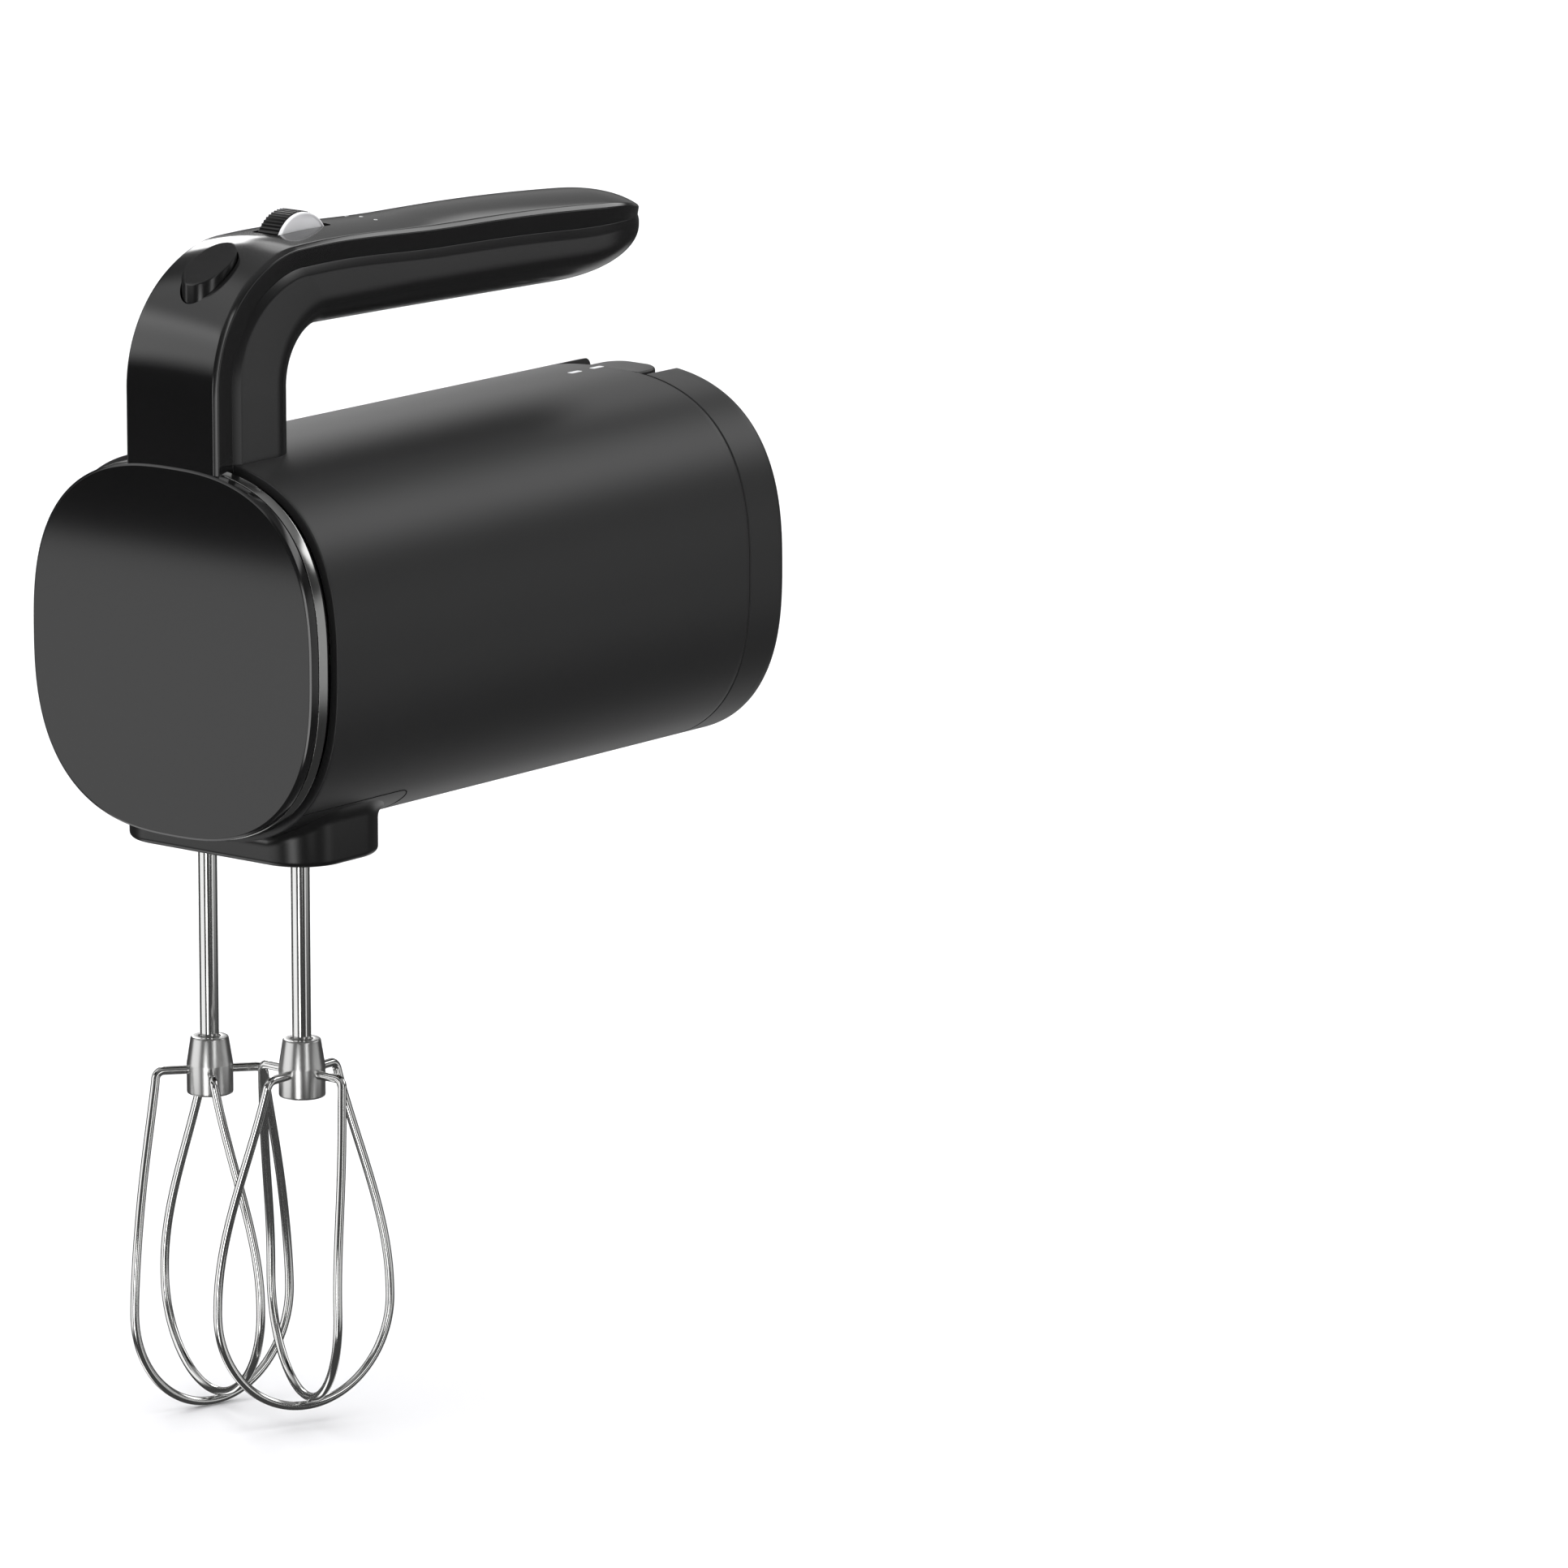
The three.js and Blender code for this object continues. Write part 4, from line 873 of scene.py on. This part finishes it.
# ---- battery pack -------------------------------------------------------------------------
def cap_outline(inset):
    """The barrel's outline, with its top notched between two upright walls."""
    walls = np.array([NOTCH["left"], NOTCH["right"]])
    tops = barrel_height(walls, inset)
    start, end = np.arctan2(tops / (BARREL["half_height"] - inset),
                            walls / (BARREL["half_width"] - inset))
    body = barrel_outline(inset, np.linspace(start, end + 2 * np.pi, 400))
    floor = NOTCH["floor"] - inset
    path = eased([body[-2], body[-1], (walls[1], floor), (walls[0], floor), body[0], body[1]],
                 [0.9, 0.4, 0.4, 0.4], 7)
    return np.concatenate([body[2:-2], path])


edge_turn = np.linspace(0, np.pi / 2, 9)
cap_profile = ([(0.3, CAP["front"]), (0.0, CAP["front"] + 0.3)]
               + [(0.0, y) for y in np.linspace(CAP["front"] + 1, CAP["rear"] - CAP["edge"], 8)]
               + [(CAP["edge"] * (1 - np.cos(a)), CAP["rear"] - CAP["edge"] * (1 - np.sin(a)))
                  for a in edge_turn[1:]])
cap = surface("battery_cap", round_stack(cap_outline, cap_profile))
dress(cap, barrel_black, "battery", "satin_black_battery", "battery_case")


def tray_rows():
    """The tray's outer skin, the opening in its front, its inner skin and its rear rim."""
    def ring(inset, y):
        """The tray's rounded rectangle in x and z, drawn in by an inset."""
        flat = rounded_rectangle(TRAY["half_width"] - inset, TRAY["half_height"] - inset,
                                 TRAY["corner"] - inset)
        return np.stack([flat[:, 0], np.full(len(flat), y), flat[:, 1]], -1)

    wall, front, rear = TRAY["wall"], TRAY["front"], CAP["front"] + 0.5
    return np.stack([ring(0, rear), ring(0, front + 0.5), ring(0.5, front),
                     ring(wall + 6, front), ring(wall + 6, front + wall),
                     ring(wall, front + wall), ring(wall, rear), ring(0, rear)])


tray = surface("battery_tray", tray_rows(), caps=False)
dress(tray, inner_black, "battery", "satin_black_battery")


def release_rows():
    """The tongue's outline with its top edge eased; its top follows the barrel's skin."""
    turn_angle = np.linspace(0, np.pi / 2, 12)
    c, s = np.cos(turn_angle), np.sin(turn_angle)

    def outline(inset):
        """A rectangle in x and y whose two rear corners are rounded."""
        half = RELEASE["half_width"] - inset
        x0, x1 = RELEASE["middle"] - half, RELEASE["middle"] + half
        y0, y1 = RELEASE["front"] + inset, RELEASE["rear"] - inset
        r = RELEASE["corner"] - inset
        first = np.stack([x1 - r + r * c, y1 - r + r * s], -1)
        second = np.stack([x0 + r - r * s, y1 - r + r * c], -1)
        return np.concatenate([[(x0, y0), (x1, y0)], first, second])

    rows = []
    for inset, drop in ((0.0, None), (0.0, 0.6), (0.15, 0.25), (0.5, 0.0), (2.0, 0.0),
                        (4.0, 0.0)):
        flat = outline(inset)
        z = (np.full(len(flat), RELEASE["low"]) if drop is None
             else barrel_height(flat[:, 0], 0.25) - drop)
        rows.append(np.concatenate([flat, z[:, None]], 1))
    return np.stack(rows)


release = surface("release_tongue", release_rows())
dress(release, barrel_black, "release", "satin_black_battery", "release_button")


# ---- printed marks, and the insert's seam as a line of painted shade -----------------------
def mark_rows(x, y, half_length, half_width):
    """A rounded mark along the barrel's skin, standing a little proud of it."""
    flat = rounded_rectangle(half_width, half_length, half_width * 0.5, (x, y), 6)
    return np.stack([np.concatenate([flat, barrel_height(flat[:, :1], inset)], 1)
                     for inset in (0.4, -0.05)])


seam_outline = eased([(side * INSERT["half_width"], INSERT[end]) for side, end in
                      ((1, "front"), (1, "rear"), (0, "rear"), (-1, "rear"), (-1, "front"))],
                     [INSERT["corner"], 0.5, INSERT["corner"]], 14)
seam_steps = np.linspace(0, len(seam_outline) - 1, 400)
seam_path = np.stack([np.interp(seam_steps, np.arange(len(seam_outline)), seam_outline[:, i])
                      for i in (0, 1)], -1)
seam_path = np.concatenate([seam_path, -barrel_height(seam_path[:, :1], 0.04)], 1)
# the seam is a near-black bar along the skin, not a cut groove: painted shade where the groove
# would lie in shadow
insert_seam_shade_line = surface("insert_seam_shade_line",
                      round_bar(seam_path, INSERT["line"], np.array([0.0, 0.0, 1.0]), 8))
dress(insert_seam_shade_line, seam_shade_black, "housing", "satin_black_barrel")

for i, y in enumerate(DASH["y"]):
    rows = mark_rows(DASH["x"], y, DASH["half_length"], DASH["half_width"])
    dress(surface(f"white_dash_{i + 1}", rows), mark_white, "housing", "white_mark")

# ---- materials of the carried-over CAD nodes -------------------------------------------------
FINISHES = {
    cast_metal: ["gearbox_frame", "gearbox_lid"],
    plain_steel: ["worm_bearing", "gearbox_screw_1", "gearbox_screw_2", "gearbox_screw_3",
                  "gearbox_screw_4", "spindle_left", "spindle_right", "worm", "motor_shaft",
                  "eject_spring", "dial_axle", "release_spring"],
    nylon: ["spindle_bush_left", "spindle_bush_right", "gear_left", "gear_right", "eject_rod",
            "eject_yoke", "rod_guide", "dial_bracket_left", "dial_bracket_right"],
    motor_steel: ["motor_can"],
    inner_black: ["motor_end_cap", "cooling_fan"],
    copper: ["rotor_core", "commutator"],
    board_green: ["control_board", "main_board"],
    rubber_black: ["handle_lead"],
    cell_blue: ["battery_cell_left", "battery_cell_centre", "battery_cell_right"],
    brass: ["battery_contacts", "housing_contacts"],
}
for finish, names in FINISHES.items():
    for name in names:
        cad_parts[name].data.materials.clear()
        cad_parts[name].data.materials.append(finish)


# ---- floor and flag -------------------------------------------------------------------------
def flag_cloth():
    """Black cloth; two smoothsteps of height thin it out, quickly below and slowly above."""
    made = plastic("flag_cloth", 0.002, 0.9)
    tree = made.node_tree
    where = add_node(tree, "ShaderNodeTexCoord").outputs["Object"]
    height = add_node(tree, "ShaderNodeSeparateXYZ", in_Vector=where).outputs["Z"]
    level = ORIGIN[2] / 1000
    rise = add_node(tree, "ShaderNodeMapRange", interpolation_type="SMOOTHSTEP",
                    in_Value=height, in_1=level - 0.022, in_2=level - 0.014).outputs[0]
    fall = add_node(tree, "ShaderNodeMapRange", interpolation_type="SMOOTHSTEP",
                    in_Value=height, in_1=level + 0.085, in_2=level + 0.150,
                    in_3=1.0, in_4=0.0).outputs[0]
    both = add_node(tree, "ShaderNodeMath", operation="MULTIPLY", in_0=rise, in_1=fall)
    tree.links.new(both.outputs[0], tree.nodes["Principled BSDF"].inputs["Alpha"])
    return made


floor_corners = FLOOR_HALF * np.array([[-1, -1, 0], [1, -1, 0], [1, 1, 0], [-1, 1, 0]])
floor = mesh_object("floor", floor_corners, [[0, 1, 2, 3]])
floor.data.materials.append(plastic("floor_paper", 0.86, 0.7, grain=300.0, cloud=0.01))
floor.visible_glossy = False
# the flag darkens what the upper part of the front plate reflects
flag_side = FLAG["half_width"] * np.array([1.0, 0.0, FLAG["slant"]])
flag_corners = [np.array([FLAG["x"], FLAG["y"], FLAG[edge]]) + side * flag_side
                for side, edge in ((-1, "low"), (1, "low"), (1, "high"), (-1, "high"))]
flag = mesh_object("dark_flag", place(flag_corners), [[0, 1, 2, 3]])
flag.data.materials.append(flag_cloth())
flag.visible_camera = flag.visible_diffuse = flag.visible_shadow = False
